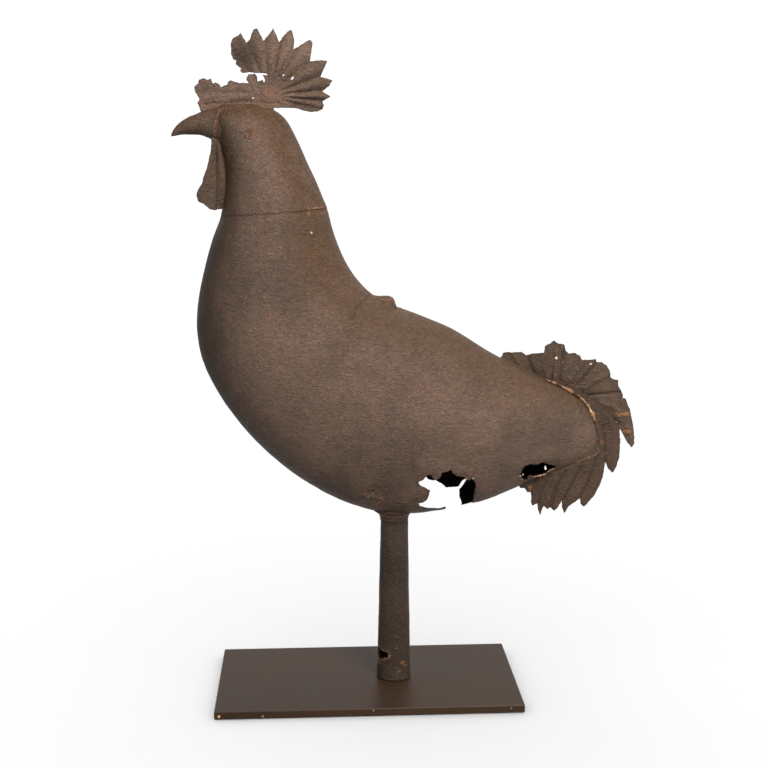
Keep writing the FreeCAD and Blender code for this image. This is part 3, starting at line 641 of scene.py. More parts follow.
def rusted_iron(name, dark, mid, tan, rust=(0.115, 0.044, 0.021), bright=(0.165, 0.09, 0.044), depth=1.0):
    """Old sheet iron: a brown, wrinkled skin, paler on the wrinkles' ridges as painted glints and darker in
    their creases as painted shade, with rust, bare metal, tan (dust and painted shading) and black (scale and
    painted shade) where they are painted.
    """
    n = Nodes(name)
    cloud = n.noise(9, 4, 0.6)
    patch = n.noise(48, 5, 0.65, 0.5)
    tone = n.noise(190, 4, 0.65)
    fine = n.noise(520, 5, 0.7)
    grain = n.noise(1700, 3, 0.6)
    crease = n.noise(1.0, 3, 0.55, 1.3, at=n.stretch((230, 230, 430), (0, 0.25, 0)))
    skin = n.mix(n.range(cloud, 0.36, 0.64), dark, mid)
    red = n.mix(1.0, skin, (1.10, 0.97, 0.92), "MULTIPLY")
    olive = n.mix(1.0, skin, (0.96, 1.01, 0.98), "MULTIPLY")
    skin = n.mix(n.range(tone, 0.36, 0.64), olive, red)
    # Tan where painted: dust and ochre, and painted shading on faces turned up, forward or to the rear.
    skin = n.mix(n.times(n.painted("dust_and_shading"), n.range(patch, 0.25, 0.7, 0.55, 1.0)), skin, tan)
    # Paler where the crease and fine noises run high, darker where the crease noise runs low. The same noises
    # raise the bump, so this is partly mottling, partly painted glints on the ridges and partly painted shade
    # in the creases.
    mottle_and_glint = n.mix(1.0, skin, (1.5, 1.45, 1.42), "MULTIPLY")
    mottle_and_crease_shade = n.mix(1.0, skin, (0.5, 0.5, 0.52), "MULTIPLY")
    skin = n.mix(n.range(crease, 0.50, 0.66, 0.0, 0.7), skin, mottle_and_glint)
    skin = n.mix(n.range(crease, 0.48, 0.34, 0.0, 0.65), skin, mottle_and_crease_shade)
    skin = n.mix(n.range(fine, 0.56, 0.72, 0.0, 0.45), skin, mottle_and_glint)
    flecks = n.times(n.range(grain, 0.68, 0.78), n.range(patch, 0.45, 0.75))
    skin = n.mix(n.times(flecks, 0.6), skin, bright)
    edge = n.painted("rust")
    torn = n.plus(edge, n.times(n.math("SUBTRACT", n.plus(fine, tone), 1.0), 1.3))
    rusty = n.mix(n.range(fine, 0.4, 0.75, 0.0, 0.5), rust, bright)
    skin = n.mix(n.times(n.range(torn, 0.4, 0.8), n.range(edge, 0.03, 0.25, 0.0, 0.85)), skin, rusty)
    bare = n.plus(n.painted("bare"), n.times(n.math("SUBTRACT", fine, 0.5), 1.2))
    shown = n.range(n.painted("bare"), 0.03, 0.2)
    skin = n.mix(n.times(n.range(bare, 0.45, 0.75), shown), skin, BARE)
    # Black where this number is set: scale, and painted shade.
    skin = n.mix(n.painted("scale_and_shade"), skin, BLACK_SCALE_AND_SHADE)
    n.shade("Base Color", skin)
    rough = n.math("MAXIMUM", n.range(crease, 0.3, 0.7, 0.62, 0.40), n.painted("scale_and_shade"))
    n.shade("Roughness", rough)
    n.shade("Specular IOR Level", 0.1)
    n.shade("Specular Tint", (1.0, 0.9, 0.84))
    height = n.plus(crease, n.times(fine, 0.35))
    height = n.plus(height, n.times(tone, 0.4))
    height = n.plus(height, n.times(n.times(edge, fine), 0.7))
    n.bump(height, 0.0024 * depth, 0.9)
    return n.material


# Chips of paint off the plate's front edge: how far along and up it, reach in metres, colour
PLATE_CHIPS = [
    (0.016, 0.4, 0.0019, (0.22, 0.14, 0.08)), (0.155, 0.3, 0.0013, (0.12, 0.11, 0.1)),
    (0.51, 0.75, 0.0010, (0.13, 0.10, 0.07)), (0.955, 0.6, 0.0010, (0.10, 0.09, 0.08)),
]


def plate_paint():
    """Dark brown-black satin paint with a few chips along the front edge."""
    n = Nodes("plate_paint")
    cloud = n.noise(7, 3)
    fine = n.noise(900, 4, 0.6)
    colour = n.mix(n.range(cloud, 0.35, 0.65), (0.0120, 0.0060, 0.0030), (0.0160, 0.0082, 0.0043))
    colour = n.mix(n.range(n.noise(260, 2), 0.62, 0.75, 0.0, 0.25), colour, (0.05, 0.046, 0.042))
    lo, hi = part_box("base_plate")
    for across, up, reach, tint in PLATE_CHIPS:
        spot = n.add("ShaderNodeVectorMath", operation="DISTANCE")
        n.join(n.place, spot.inputs[0])
        spot.inputs[1].default_value = (lo[0] + (hi[0] - lo[0]) * across, lo[1], lo[2] + (hi[2] - lo[2]) * up)
        torn = n.plus(spot.outputs["Value"], n.times(n.noise(600, 3), reach * 0.9))
        colour = n.mix(n.range(torn, reach * 1.45, reach * 1.15), colour, tint)
    n.shade("Base Color", colour)
    n.shade("Roughness", n.range(cloud, 0.3, 0.7, 0.39, 0.46))
    n.shade("Specular IOR Level", 0.12)
    n.shade("Specular Tint", (1.0, 0.86, 0.76))
    n.bump(n.plus(n.times(fine, 0.5), n.noise(140, 2)), 0.00012, 0.6)
    return n.material


def worn_metal(name, colour):
    """Turned metal with a fine lay and dull patches, for the parts of the bearing."""
    n = Nodes(name)
    lay = n.noise(1.0, 3, 0.6, at=n.stretch((60, 60, 5200)))
    stain = n.noise(90, 4, 0.6)
    tint = n.mix(n.range(stain, 0.4, 0.7, 0.0, 0.6), colour, tuple(c * 0.45 for c in colour))
    n.shade("Base Color", tint)
    n.shade("Metallic", 1.0)
    n.shade("Roughness", n.range(stain, 0.3, 0.7, 0.3, 0.55))
    n.bump(lay, 0.00008, 0.3)
    return n.material


def felt():
    """Black felt."""
    n = Nodes("felt")
    fibre = n.noise(1.0, 5, 0.7, 0.6, at=n.stretch((900, 1500, 900)))
    n.shade("Base Color", n.mix(fibre, (0.006, 0.006, 0.0065), (0.035, 0.034, 0.036)))
    n.shade("Roughness", n.range(fibre, 0.2, 0.8, 0.85, 1.0))
    n.shade("Specular IOR Level", 0.1)
    n.bump(fibre, 0.0004, 0.8)
    return n.material


def paper():
    """The floor: plain, nearly white."""
    n = Nodes("pale_floor")
    tone = n.noise(0.7, 2)
    n.shade("Base Color", n.mix(tone, (0.955, 0.955, 0.955), (0.97, 0.97, 0.97)))
    n.shade("Roughness", 0.9)
    n.shade("Specular IOR Level", 0.1)
    return n.material


IRON = rusted_iron("sheet_iron", (0.031, 0.0205, 0.0150), (0.050, 0.0325, 0.0240), (0.031, 0.0160, 0.0075))
COMB_IRON = rusted_iron(
    "comb_iron", (0.038, 0.0255, 0.0195), (0.067, 0.044, 0.0330), (0.06, 0.037, 0.023), depth=1.2,
)
FAR_IRON = rusted_iron(
    "far_tail_iron", (0.028, 0.0184, 0.0130), (0.040, 0.0260, 0.0180), (0.045, 0.028, 0.0185), depth=1.2,
)
TAIL_IRON = rusted_iron(
    "tail_iron", (0.020, 0.0125, 0.0086), (0.029, 0.0181, 0.0122), (0.033, 0.0205, 0.0135), depth=1.2,
)
TUBE_IRON = rusted_iron(
    "socket_iron", (0.0135, 0.0090, 0.0062), (0.0225, 0.0147, 0.0098), (0.03, 0.02, 0.013),
    rust=(0.085, 0.034, 0.017), bright=(0.19, 0.095, 0.047), depth=1.3,
)
SOLDER = rusted_iron("rusted_solder", (0.08, 0.042, 0.022), (0.18, 0.10, 0.05), (0.16, 0.09, 0.047))
# Very dark iron for the parts inside the hollow body: painted shade.
INNER_SHADED_IRON = rusted_iron("inner_shaded_iron", (0.012, 0.008, 0.006), (0.02, 0.013, 0.009), (0.02, 0.013, 0.009))


def finish_piece(obj, material, node_name=None):
    """Gives a piece of the vane its material, hangs it on the vane's body, and hides the CAD node that it
    stands for, if any.
    """
    obj.data.materials.clear()
    obj.data.materials.append(material)
    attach(obj, "vane")
    if node_name:
        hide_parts(node_name)


# ------------------------------------------------------------------ the hollow bird

ROW_STEP = 2.6
AROUND = 120
_, KNOTS, _ = spline(SECTIONS, 2)
ROWS, _, SPREAD = spline(SECTIONS, int(KNOTS[-1] / ROW_STEP) + 1)
ROWS[:, 4] = np.maximum(ROWS[:, 4], 0.2)
SEAM_ROW = int(np.argmin(abs(SPREAD - KNOTS[NECK_SEAM])))


def form_points(rows, angle, side, grow=0.0):
    """Points of the bird's outside, by row and by angle from the front or belly round to the back."""
    back, front = rows[:, :2], rows[:, 2:4]
    centre, axis = (back + front) / 2, (front - back) / 2
    reach = np.hypot(*axis.T)[:, None]
    axis = axis / np.maximum(reach, 1e-6) * (reach + grow)
    p = np.zeros((len(rows), len(angle), 3))
    p[..., [0, 2]] = centre[:, None] + axis[:, None] * np.cos(angle)[None, :, None]
    p[..., 1] = side * (rows[:, 4, None] + grow) * np.sin(angle)[None]
    return p


def form_normals(p, side):
    """Outward directions at a grid of points from form_points."""
    du, dv = np.gradient(p, axis=0), np.gradient(p, axis=1)
    normal = np.cross(dv, du) * side
    normal[:, [0, -1], 1] = 0.0
    return normal / np.maximum(np.linalg.norm(normal, axis=-1, keepdims=True), 1e-9)


def hammering(p):
    """How far the sheet stands proud of its plain form: slack, dents and the smith's planishing."""
    slack = 0.75 * noise(p, 75, 3, 2) + 0.30 * noise(p, 24, 5, 2)
    return slack + 0.16 * noise(p, 9, 8, 2) + 0.07 * noise(p, 3.6, 12)


def break_curl(p, side):
    """Sheet round a rust break is thin and bent inwards a little; rust lines and folds stand up or in."""
    q = in_plan(p)
    bend = np.zeros(len(p))
    for hole in HOLES[side]:
        bend -= hill(line_distance(q, hole, True), 5.0) * (1.1 + 1.2 * noise(p, 11, 21))
    if side == NEAR:
        bend -= 1.5 * hill(line_distance(q, CREASE), 2.2)
        bend += 0.9 * hill(line_distance(q, np.array(CREASE) + (4.5, 1.5)), 3.5)
        bend -= 0.5 * hill(line_distance(q, REAR_FOLD), 2.5)
        for line, width, share in RAISED_LINES:
            bend += 0.8 * share * hill(line_distance(q, line), width)
    return bend


def shell(name, rows, side, lap):
    """One half of the skin: outside, inside and rims, as a closed sheet."""
    angle = np.linspace(0, math.pi, AROUND)
    p = form_points(rows, angle, side)
    normal = form_normals(p, side)
    flat = p.reshape(-1, 3)
    rise = (hammering(flat) + break_curl(flat, side)).reshape(p.shape[:2])
    rise = rise + lap[:, None]
    rise *= smooth(steps_to_end(AROUND), -1, 5)[None]
    outer = p + normal * rise[..., None]
    inner = outer - normal * SHEET
    limit = np.abs(p[..., 1])
    inner[..., 1] = np.where(limit < SHEET, p[..., 1], inner[..., 1])
    points, faces = slab(outer, inner)
    return new_piece(name, points, faces)


def core_solid():
    """The bird's form, a little inside its skin, as one plain solid to trim what is soldered to it."""
    ring = form_points(ROWS[::2], turns(120), 1, -0.9)
    return new_piece("core", *tube(ring))


def outward(p, normal, side):
    """How squarely each point's face looks away from the inside of the bird."""
    angle = np.linspace(0, math.pi, 46)
    form = form_points(ROWS[::3], angle, side)
    facing = form_normals(form, side).reshape(-1, 3)
    form = form.reshape(-1, 3)
    tree = KDTree(len(form))
    for k, point in enumerate(form):
        tree.insert(point, k)
    tree.balance()
    nearest = np.array([tree.find(point)[1] for point in p])
    return np.sum(facing[nearest] * normal, axis=1)


def skin_paint(obj, side):
    """Rust along breaks, seams and lines; black at the breaks' edges, with painted shade in the neck crease,
    on faces turned forward and over the inside of the sheet; tan on up-, rear- and forward-facing faces,
    partly the iron's ochre and partly painted shading for how the light falls.
    """
    p, normal = points_of(obj), per_point(obj, "normal")
    q = in_plan(p)
    rust = 0.26 * np.exp(-abs(p[:, 1]) / 5.0) + 0.07 * smooth(noise(p, 30, 41, 3), 0.1, 0.9)
    bare, scale_and_shade = np.zeros(len(p)), np.zeros(len(p))
    for hole in HOLES[side]:
        d = line_distance(q, hole, True)
        rust = np.maximum(rust, 0.5 * np.exp(-d / 4.0))
        scale_and_shade = np.maximum(scale_and_shade, 0.55 * np.exp(-d / 0.8))
    if side == NEAR:
        right = smooth(q[:, 0], -140, -100)
        rust = np.maximum(rust, hill(line_distance(q, SEAM_RUN), 1.1) * (0.45 + 0.35 * right))
        above = hill(q[:, 1] - 607 - 0.055 * (q[:, 0] + 81), 6.0)
        band = above * smooth(q[:, 0], -130, -104)
        rust = np.maximum(rust, 0.45 * band)
        bare = np.maximum(bare, 0.3 * band)
        for line, width, share in RUST_LINES:
            rust = np.maximum(rust, share * hill(line_distance(q, line), width))
        for x, z, r in CHIPS:
            bare = np.maximum(bare, 1.3 * hill(np.hypot(q[:, 0] - x, q[:, 1] - z), r))
        arc = hill(line_distance(q, REAR_ARC[3:]), 3.2) * smooth(noise(p, 6, 43, 2), -0.2, 0.5)
        rust = np.maximum(rust, arc)
        # Painted shade along the neck crease, in the groove beside the fold.
        scale_and_shade = np.maximum(scale_and_shade, 0.6 * hill(line_distance(q, np.array(CREASE) + (1.2, -1)), 1.3))
    # Tan by facing: on up- and forward-facing faces it is painted shade that darkens them for how the light
    # falls; on rear-facing faces from the back up to the neck it is ochre.
    upward = smooth(normal[:, 2], 0.1, 0.8)
    nape = smooth(normal[:, 0], 0.05, 0.55) * smooth(p[:, 2], 440, 560)
    forward = smooth(-normal[:, 0], 0.45, 0.9)
    crown = hill(line_distance(p[:, [0, 2]], [(-205, 731), (-170, 735), (-144, 729)]), 7)
    rust = np.maximum(rust, 0.5 * crown)
    rust = np.maximum(rust, 0.4 * forward * smooth(p[:, 2], 640, 670))
    # Painted shade on faces turned forward, strongest on the breast below the neck, stored as black.
    breast = 0.3 + 0.7 * (1 - smooth(p[:, 2], 560, 640))
    scale_and_shade = np.maximum(scale_and_shade, 0.6 * breast * smooth(-normal[:, 0], 0.1, 0.85))
    # Painted shade: faces turned into the hollow body are stored as nearly black and lose most of their rust
    # and bare metal.
    within = smooth(-outward(p, normal, side), 0.15, 0.5)
    scale_and_shade = np.maximum(scale_and_shade, 0.97 * within)
    paint(obj, rust * (1 - 0.5 * within), bare * (1 - within), upward + nape + forward, scale_and_shade)


# The bore that the tube comes up through, and how far the cutters for holes reach
BORE_RADIUS = 17.6
BORE_ENDS = (200.0, 245.0)
CUT_REACH = 130.0
CUT_OVERLAP = 0.4


def make_skin():
    """The two halves of the head and of the body, with the breaks in them."""
    seam_gap = np.arange(len(ROWS)) - SEAM_ROW
    lap = np.where(seam_gap <= 0, 0.5 * np.exp(np.minimum(seam_gap, 0) / 7.0), 0.0)
    for side, word in SIDES:
        head = shell(f"head_{word}_skin", ROWS[:SEAM_ROW + 1], side, lap[:SEAM_ROW + 1])
        body = shell(f"body_{word}_skin", ROWS[SEAM_ROW - 2:], side, np.zeros(len(ROWS) - SEAM_ROW + 2))
        ends = sorted((side * CUT_REACH, -side * CUT_OVERLAP))
        cut(body, "DIFFERENCE", *[prism(ragged(h, seed=5 + k), *ends) for k, h in enumerate(HOLES[side])])
        if side == NEAR:
            pins = [ragged(spot_outline(*hole), 0.8, 0.3) for hole in PINHOLES]
            cut(body, "DIFFERENCE", *[prism(pin, -CUT_REACH, -8) for pin in pins])
        bore = spot_outline(0, 0, BORE_RADIUS, 48)
        ends = [[(x, y, z) for x, y in bore] for z in BORE_ENDS]
        cut(body, "DIFFERENCE", new_piece("bore", *tube(np.array(ends))))
        drop_crumbs(body)
        for piece, node in ((head, f"head_{word}"), (body, f"body_{word}")):
            skin_paint(piece, side)
            finish_piece(piece, IRON, node)


# ------------------------------------------------------------------ beads of solder and edges

BEAD_FLATNESS = 0.75


def bead(name, path, radius, seed, material=SOLDER, worn=0.6):
    """An uneven bead along a smooth path of (x, y, z)."""
    path = np.array(path, float)
    length = np.linalg.norm(np.diff(path, axis=0), axis=1).sum()
    rows, _, _ = spline(path, int(length / 0.8))
    ahead = np.gradient(rows, axis=0)
    ahead /= np.linalg.norm(ahead, axis=1, keepdims=True)
    side = np.cross(ahead, (0, 1, 0))
    side /= np.linalg.norm(side, axis=1, keepdims=True)
    up = np.cross(side, ahead)
    swell = radius * (1 + 0.5 * noise(rows, 7, seed, 2) + 0.4 * noise(rows, 2.2, seed + 3))
    swell = swell * np.minimum(1, steps_to_end(len(rows)) / 14 + 0.1)
    angle = turns(12)
    across = side[:, None] * np.cos(angle)[None, :, None]
    proud = up[:, None] * (BEAD_FLATNESS * np.sin(angle))[None, :, None]
    obj = new_piece(name, *tube(rows[:, None] + swell[:, None, None] * (across + proud)))
    p = points_of(obj)
    bare = worn * smooth(noise(p, 9, seed + 9, 2), 0.1, 0.6)
    scale_and_shade = 1.4 * worn * smooth(noise(p, 5, seed + 13, 2), -0.05, 0.4)
    paint(obj, 0.35 + 0.3 * noise(p, 5, seed), bare, 0.5, scale_and_shade)
    finish_piece(obj, material)


# ------------------------------------------------------------------ fluted sheets

GRID_STEP = 1.15
THICK = 1.2
TRIM_REACH = 40


def sheet_piece(name, outline, height, middle, node, trim, seed, worn, material,
                strokes=(), spots=(), holes=()):
    """A thin sheet with flutes, broken to its outline. height(x, z) is how far it stands off its plane."""
    line = ragged(outline, seed=seed)
    lo, hi = line.min(0) - 3, line.max(0) + 3
    xs = np.arange(lo[0], hi[0], GRID_STEP)
    zs = np.arange(lo[1], hi[1], GRID_STEP)
    x, z = np.meshgrid(xs, zs, indexing="ij")
    q = np.c_[x.ravel(), z.ravel()]
    at = np.c_[q[:, 0], np.zeros(len(q)), q[:, 1]]
    rise = height(q)
    for run, width, deep in strokes:
        rise = rise + deep * hill(line_distance(q, run), width)
    rise = rise + 0.35 * noise(at, 17, seed + 3, 2) + 0.10 * noise(at, 4, seed + 5)
    d = line_distance(q, line, True)
    rise = rise + np.exp(-d / 3.5) * 0.7 * noise(at, 8, seed + 7)
    y = (middle + rise).reshape(x.shape)
    front = np.stack([x, y - THICK / 2, z], -1)
    back = np.stack([x, y + THICK / 2, z], -1)
    obj = new_piece(name, *slab(front, back))
    ends = middle - TRIM_REACH, middle + TRIM_REACH
    cut(obj, "INTERSECT", prism(line, *ends, seen=False))
    for k, hole in enumerate(holes):
        cut(obj, "DIFFERENCE", prism(ragged(hole, 1.0, 0.3, seed + k), *ends, seen=False))
    cut(obj, "DIFFERENCE", *trim, keep=True)
    p, normal = points_of(obj), per_point(obj, "normal")
    q = p[:, [0, 2]]
    edge = line_distance(q, line, True)
    rust = 0.5 * smooth(noise(p, 16, seed + 21, 3), 0.0, 1.0) * worn
    bare = 0.5 * np.exp(-edge / 1.2) * smooth(noise(p, 5, seed + 31), 0.55, 0.8)
    scale_and_shade = 0.5 * np.exp(-edge / 0.9)
    # Painted shade in the flutes' valleys, where a stroke sets the sheet back from the near side.
    for run, width, deep in strokes:
        scale_and_shade = np.maximum(scale_and_shade, 0.5 * hill(line_distance(q, run), width * 0.6) * (deep > 0))
    for x, z, wide, high, rusted, shiny in spots:
        near = hill(q[:, 0] - x, wide) * hill(q[:, 1] - z, high)
        rust = np.maximum(rust, rusted * near)
        bare = np.maximum(bare, shiny * near)
        scale_and_shade = np.maximum(scale_and_shade, -rusted * near)
    # Tan on faces turned up: partly dust, partly painted shading for the light from above.
    paint(obj, rust, bare, 0.8 * smooth(normal[:, 2], 0.0, 0.7), scale_and_shade)
    finish_piece(obj, material, node)


def fan(hub, marks, deep, start, full, fall=None):
    """Rounded flutes that run out from a hub: the marks are bearings of valleys and ridges in turn."""
    bearings = np.radians(marks)

    def height(q):
        dx, dz = q[:, 0] - hub[0], q[:, 1] - hub[1]
        r, a = np.hypot(dx, dz), np.arctan2(dz, dx)
        phase = np.interp(a, bearings, np.arange(len(bearings)) * math.pi, left=0, right=0)
        rounded = 2 * np.abs(np.sin(phase / 2)) - 1
        grow = smooth(r, start, full)
        if fall:
            grow = grow * (1 - 0.75 * smooth(r, fall[0], fall[1]))
        return -deep * rounded * grow

    return height


def make_comb(core):
    """The comb: flutes from its hub, flatter at the front left and along the foot."""
    bearings = [math.degrees(math.atan2(z - COMB_HUB[1], x - COMB_HUB[0])) for x, z in COMB_MARKS]
    ridge = fan(COMB_HUB, bearings, 2.9, 5, 36, (62, 84))

    def height(q):
        back = smooth(q[:, 0], -176, -160) + smooth(q[:, 1], 766, 772)
        left = smooth(-q[:, 0], 128, 152)
        low = smooth(-q[:, 1], -742, -730)
        return ridge(q) * np.clip(back, 0, 1) * (1 - 0.45 * left) * (1 - 0.65 * low)

    sheet_piece("comb_sheet", COMB, height, 0.0, "comb", [core], 11, 0.3, COMB_IRON,
                COMB_STROKES, COMB_SPOTS, COMB_HOLES)


def flare(q):
    """Sheet that lies out against the body near its edge and thins away from it."""
    return 5.0 * np.exp(-line_distance(q, REAR_BELLY + REAR_ARC[::-1]) / 14.0)


def make_tails(core):
    """The two tail sheets, one each side of the middle plane."""
    sheet_piece("tail_left_sheet", TAIL_NEAR, lambda q: -flare(q), -4.0, "tail_left", [core], 23, 0.25,
                TAIL_IRON, NEAR_STROKES, NEAR_SPOTS)
    sheet_piece("tail_right_sheet", TAIL_FAR, flare, 4.0, "tail_right", [core], 37, 0.3,
                FAR_IRON, FAR_STROKES, FAR_SPOTS)


def make_wattles(core, beak_core):
    """The two wattles, fluted from a hub under the beak."""
    marks = [-150, -127, -112, -101, -92, -84, -76, -68, -60]
    for side, word in SIDES:
        ripple = fan((-212, 712), marks, 2.6 * -side, 10, 40)
        sheet_piece(f"wattle_{word}_sheet", WATTLE, ripple, side * 9.0, f"wattle_{word}", [core, beak_core],
                    51 + side, 0.3, FAR_IRON)


# ------------------------------------------------------------------ beak, eyes, cap, collar and socket

BEAK_TIP = -265.9


def make_beak(core):
    """The beak, swollen where it meets the head. Gives back its plain form, for trimming the wattles."""
    rows, _, _ = spline(BEAK, 60)
    rows[:, 4] = np.maximum(rows[:, 4], 0.4)
    rings = form_points(rows, turns(64), 1)
    plain = new_piece("beak_core", *tube(rings))
    centre = rings.mean(1, keepdims=True)
    out = rings - centre
    reach = np.linalg.norm(out, axis=-1, keepdims=True)
    rise = 0.4 * noise(rings, 14, 71, 2) + 0.16 * noise(rings, 4, 73, 2)
    rise = rise + 3.2 * np.exp(-np.clip(-206 - rings[..., 0], 0, None) / 3.5)
    rings = rings + out / np.maximum(reach, 1e-6) * rise[..., None]
    rings[..., 0] = np.maximum(rings[..., 0], BEAK_TIP)
    obj = new_piece("beak_horn", *tube(rings))
    cut(obj, "DIFFERENCE", core, keep=True)
    p, normal = points_of(obj), per_point(obj, "normal")
    seam = line_distance(p[:, [0, 2]], [(-206, 729), (-211.5, 716), (-213.5, 705), (-213.5, 692)])
    rust = np.maximum(0.66 * hill(seam, 2.2), 0.45 * hill(p[:, 2] - 728, 5))
    # Tan on faces turned up and black on faces turned down: painted shading, with the underside in painted
    # shade.
    dust_and_shading = 0.35 + 0.55 * smooth(normal[:, 2], 0.2, 0.9)
    scale_and_shade = 0.14 + 0.25 * smooth(-normal[:, 2], 0.3, 0.9)
    paint(obj, rust, dust_and_shading=dust_and_shading, scale_and_shade=scale_and_shade)
    finish_piece(obj, IRON, "beak")
    return plain


def surface_at(x, z, side):
    """The point and outward direction of the form where it stands over (x, z) in the middle plane."""
    angle = np.linspace(0, math.pi, 181)
    p = form_points(ROWS[:SEAM_ROW], angle, side)
    normal = form_normals(p, side)
    flat = p.reshape(-1, 3)
    k = int(np.argmin(np.hypot(flat[:, 0] - x, flat[:, 2] - z)))
    return flat[k], normal.reshape(-1, 3)[k]


EYE_AT = {NEAR: (-171.3, 699.0), FAR: (-172, 699.0)}
WASHER = [
    (0.01, -2.0), (6.0, -2.0), (6.4, -0.3), (5.9, 0.2), (5.0, 0.5), (4.1, 0.45), (3.3, 0.15), (2.6, 0.0),
    (1.9, -0.1), (1.4, -0.3), (1.0, -0.7), (0.01, -0.9),
]


def make_eyes():
    """A worn washer riveted over each side of the head, rustier below and dark at its centre and rim."""
    for side, word in SIDES:
        points, faces = lathe(WASHER, around=48)
        points = points + 0.16 * noise(points, 2.4, 81)[:, None]
        spot, normal = surface_at(*EYE_AT[side], side)
        turn = np.array(Vector(normal).to_track_quat("Z", "Y").to_matrix())
        obj = new_piece(f"eye_{word}_washer", points @ turn.T + spot, faces)
        radius = np.hypot(points[:, 0], points[:, 1])
        p = points_of(obj)
        low = smooth(spot[2] - p[:, 2] + 0.6 * (p[:, 0] - spot[0]), -3.0, 4.0)
        off = np.hypot(p[:, 0] - spot[0] - 1.2, p[:, 2] - spot[2])
        scale_and_shade = 0.4 * hill(off, 1.3) + 0.25 * (1 - low) * hill(radius - 5.3, 0.8)
        paint(obj, 0.36 + 0.2 * low, dust_and_shading=0.8, scale_and_shade=scale_and_shade)
        finish_piece(obj, IRON, f"eye_{word}")


def back_line(across):
    """The run of the upper side as (x, z), at a distance from the middle plane."""
    keep = ROWS[(ROWS[:, 4] > across + 1) & (np.arange(len(ROWS)) > SEAM_ROW)]
    centre, axis = (keep[:, :2] + keep[:, 2:4]) / 2, (keep[:, 2:4] - keep[:, :2]) / 2
    line = centre - axis * np.sqrt(1 - (across / keep[:, 4:]) ** 2)
    return line[:, 0], line[:, 1]


def make_back_cap():
    """The lump over the tube's end: the sheet swells up to it, and it ends in a lip at the rear."""
    xs, ys = np.arange(-40, 12.1, 0.8), np.arange(-27, 27.1, 0.9)
    x, y = np.meshgrid(xs, ys, indexing="ij")
    back = np.array([np.interp(xs, *back_line(abs(v))) for v in ys]).T
    at = np.stack([x, y, back], -1)
    rear = 0.8 - 0.012 * (y + 3) ** 2 - 3.0 * smooth(y, 2, 18)
    level = 504.6 + 0.4 * hill(x + 5, 8) - (y + 2) ** 2 / 80 + 0.35 * noise(at, 7, 91, 2)
    level = level - 2.6 * smooth(x, rear - 9, rear - 1) - 13 * smooth(x, rear - 2.5, rear + 3.5)
    level = level - 0.06 * np.clip(abs(y + 1) - 11, 0, None) ** 2
    blend = 1.6
    top = np.logaddexp(back / blend, level / blend) * blend
    rim = np.minimum(np.minimum(x + 40, 12 - x), 27 - abs(y))
    hidden = np.maximum(2.2 * np.exp(-(top - back) / 0.6), 2.4 * (1 - smooth(rim, 0, 4)))
    top = top - hidden
    under = np.minimum(top, back) - 3.5
    obj = new_piece("back_cap_lump", *slab(np.stack([x, y, top], -1), np.stack([x, y, under], -1)))
    p = points_of(obj)
    lip = hill(p[:, 2] - 501.6, 1.0) * smooth(p[:, 0], -24, -8)
    # Painted shade on the rear face under the lip: less tan, more black.
    rear_face = smooth(p[:, 0], -1.5, 1) * (1 - smooth(p[:, 0], 3, 6))
    paint(obj, 0.25 + 0.45 * lip, dust_and_shading=0.9 - 0.5 * rear_face, scale_and_shade=0.6 * rear_face)
    finish_piece(obj, IRON, "back_cap")


FLARE = [
    (17.2, 220.5), (17.75, 220.5), (18.0, 223), (18.7, 226), (20.3, 229), (23.4, 231.6), (26.5, 233.5),
    (27.0, 240), (17.2, 240),
]


def make_collar(core):
    """The flared foot that the body is soldered down to, and its lumpy bead."""
    def lumps(p):
        return 0.45 * noise(p, 7, 101, 2) * smooth(p[..., 2], 221, 229)

    obj = new_piece("belly_collar_flare", *lathe(FLARE, (0.4, 0), 96, lumps))
    cut(obj, "DIFFERENCE", core, keep=True)
    p = points_of(obj)
    ring = hill(p[:, 2] - 229.0 + 0.7 * noise(p, 8, 103), 0.9)
    bare = 0.5 * ring * smooth(noise(p, 9, 105), 0.2, 0.6)
    paint(obj, 0.3 + 0.4 * ring, bare, scale_and_shade=0.45 * (1 - ring))
    finish_piece(obj, IRON, "belly_collar")


# Patches of rust low on the socket: x, z, reach along x, reach along z, strength
SOCKET_SPOTS = [
    (11, 27.5, 4, 4, 1.0), (15, 23.5, 4, 2.5, 0.9), (-19, 28.5, 3.5, 4, 0.9), (8, 15, 7, 3, 0.5),
    (2, 47, 9, 4, 0.45), (5, 62, 8, 3, 0.4),
]


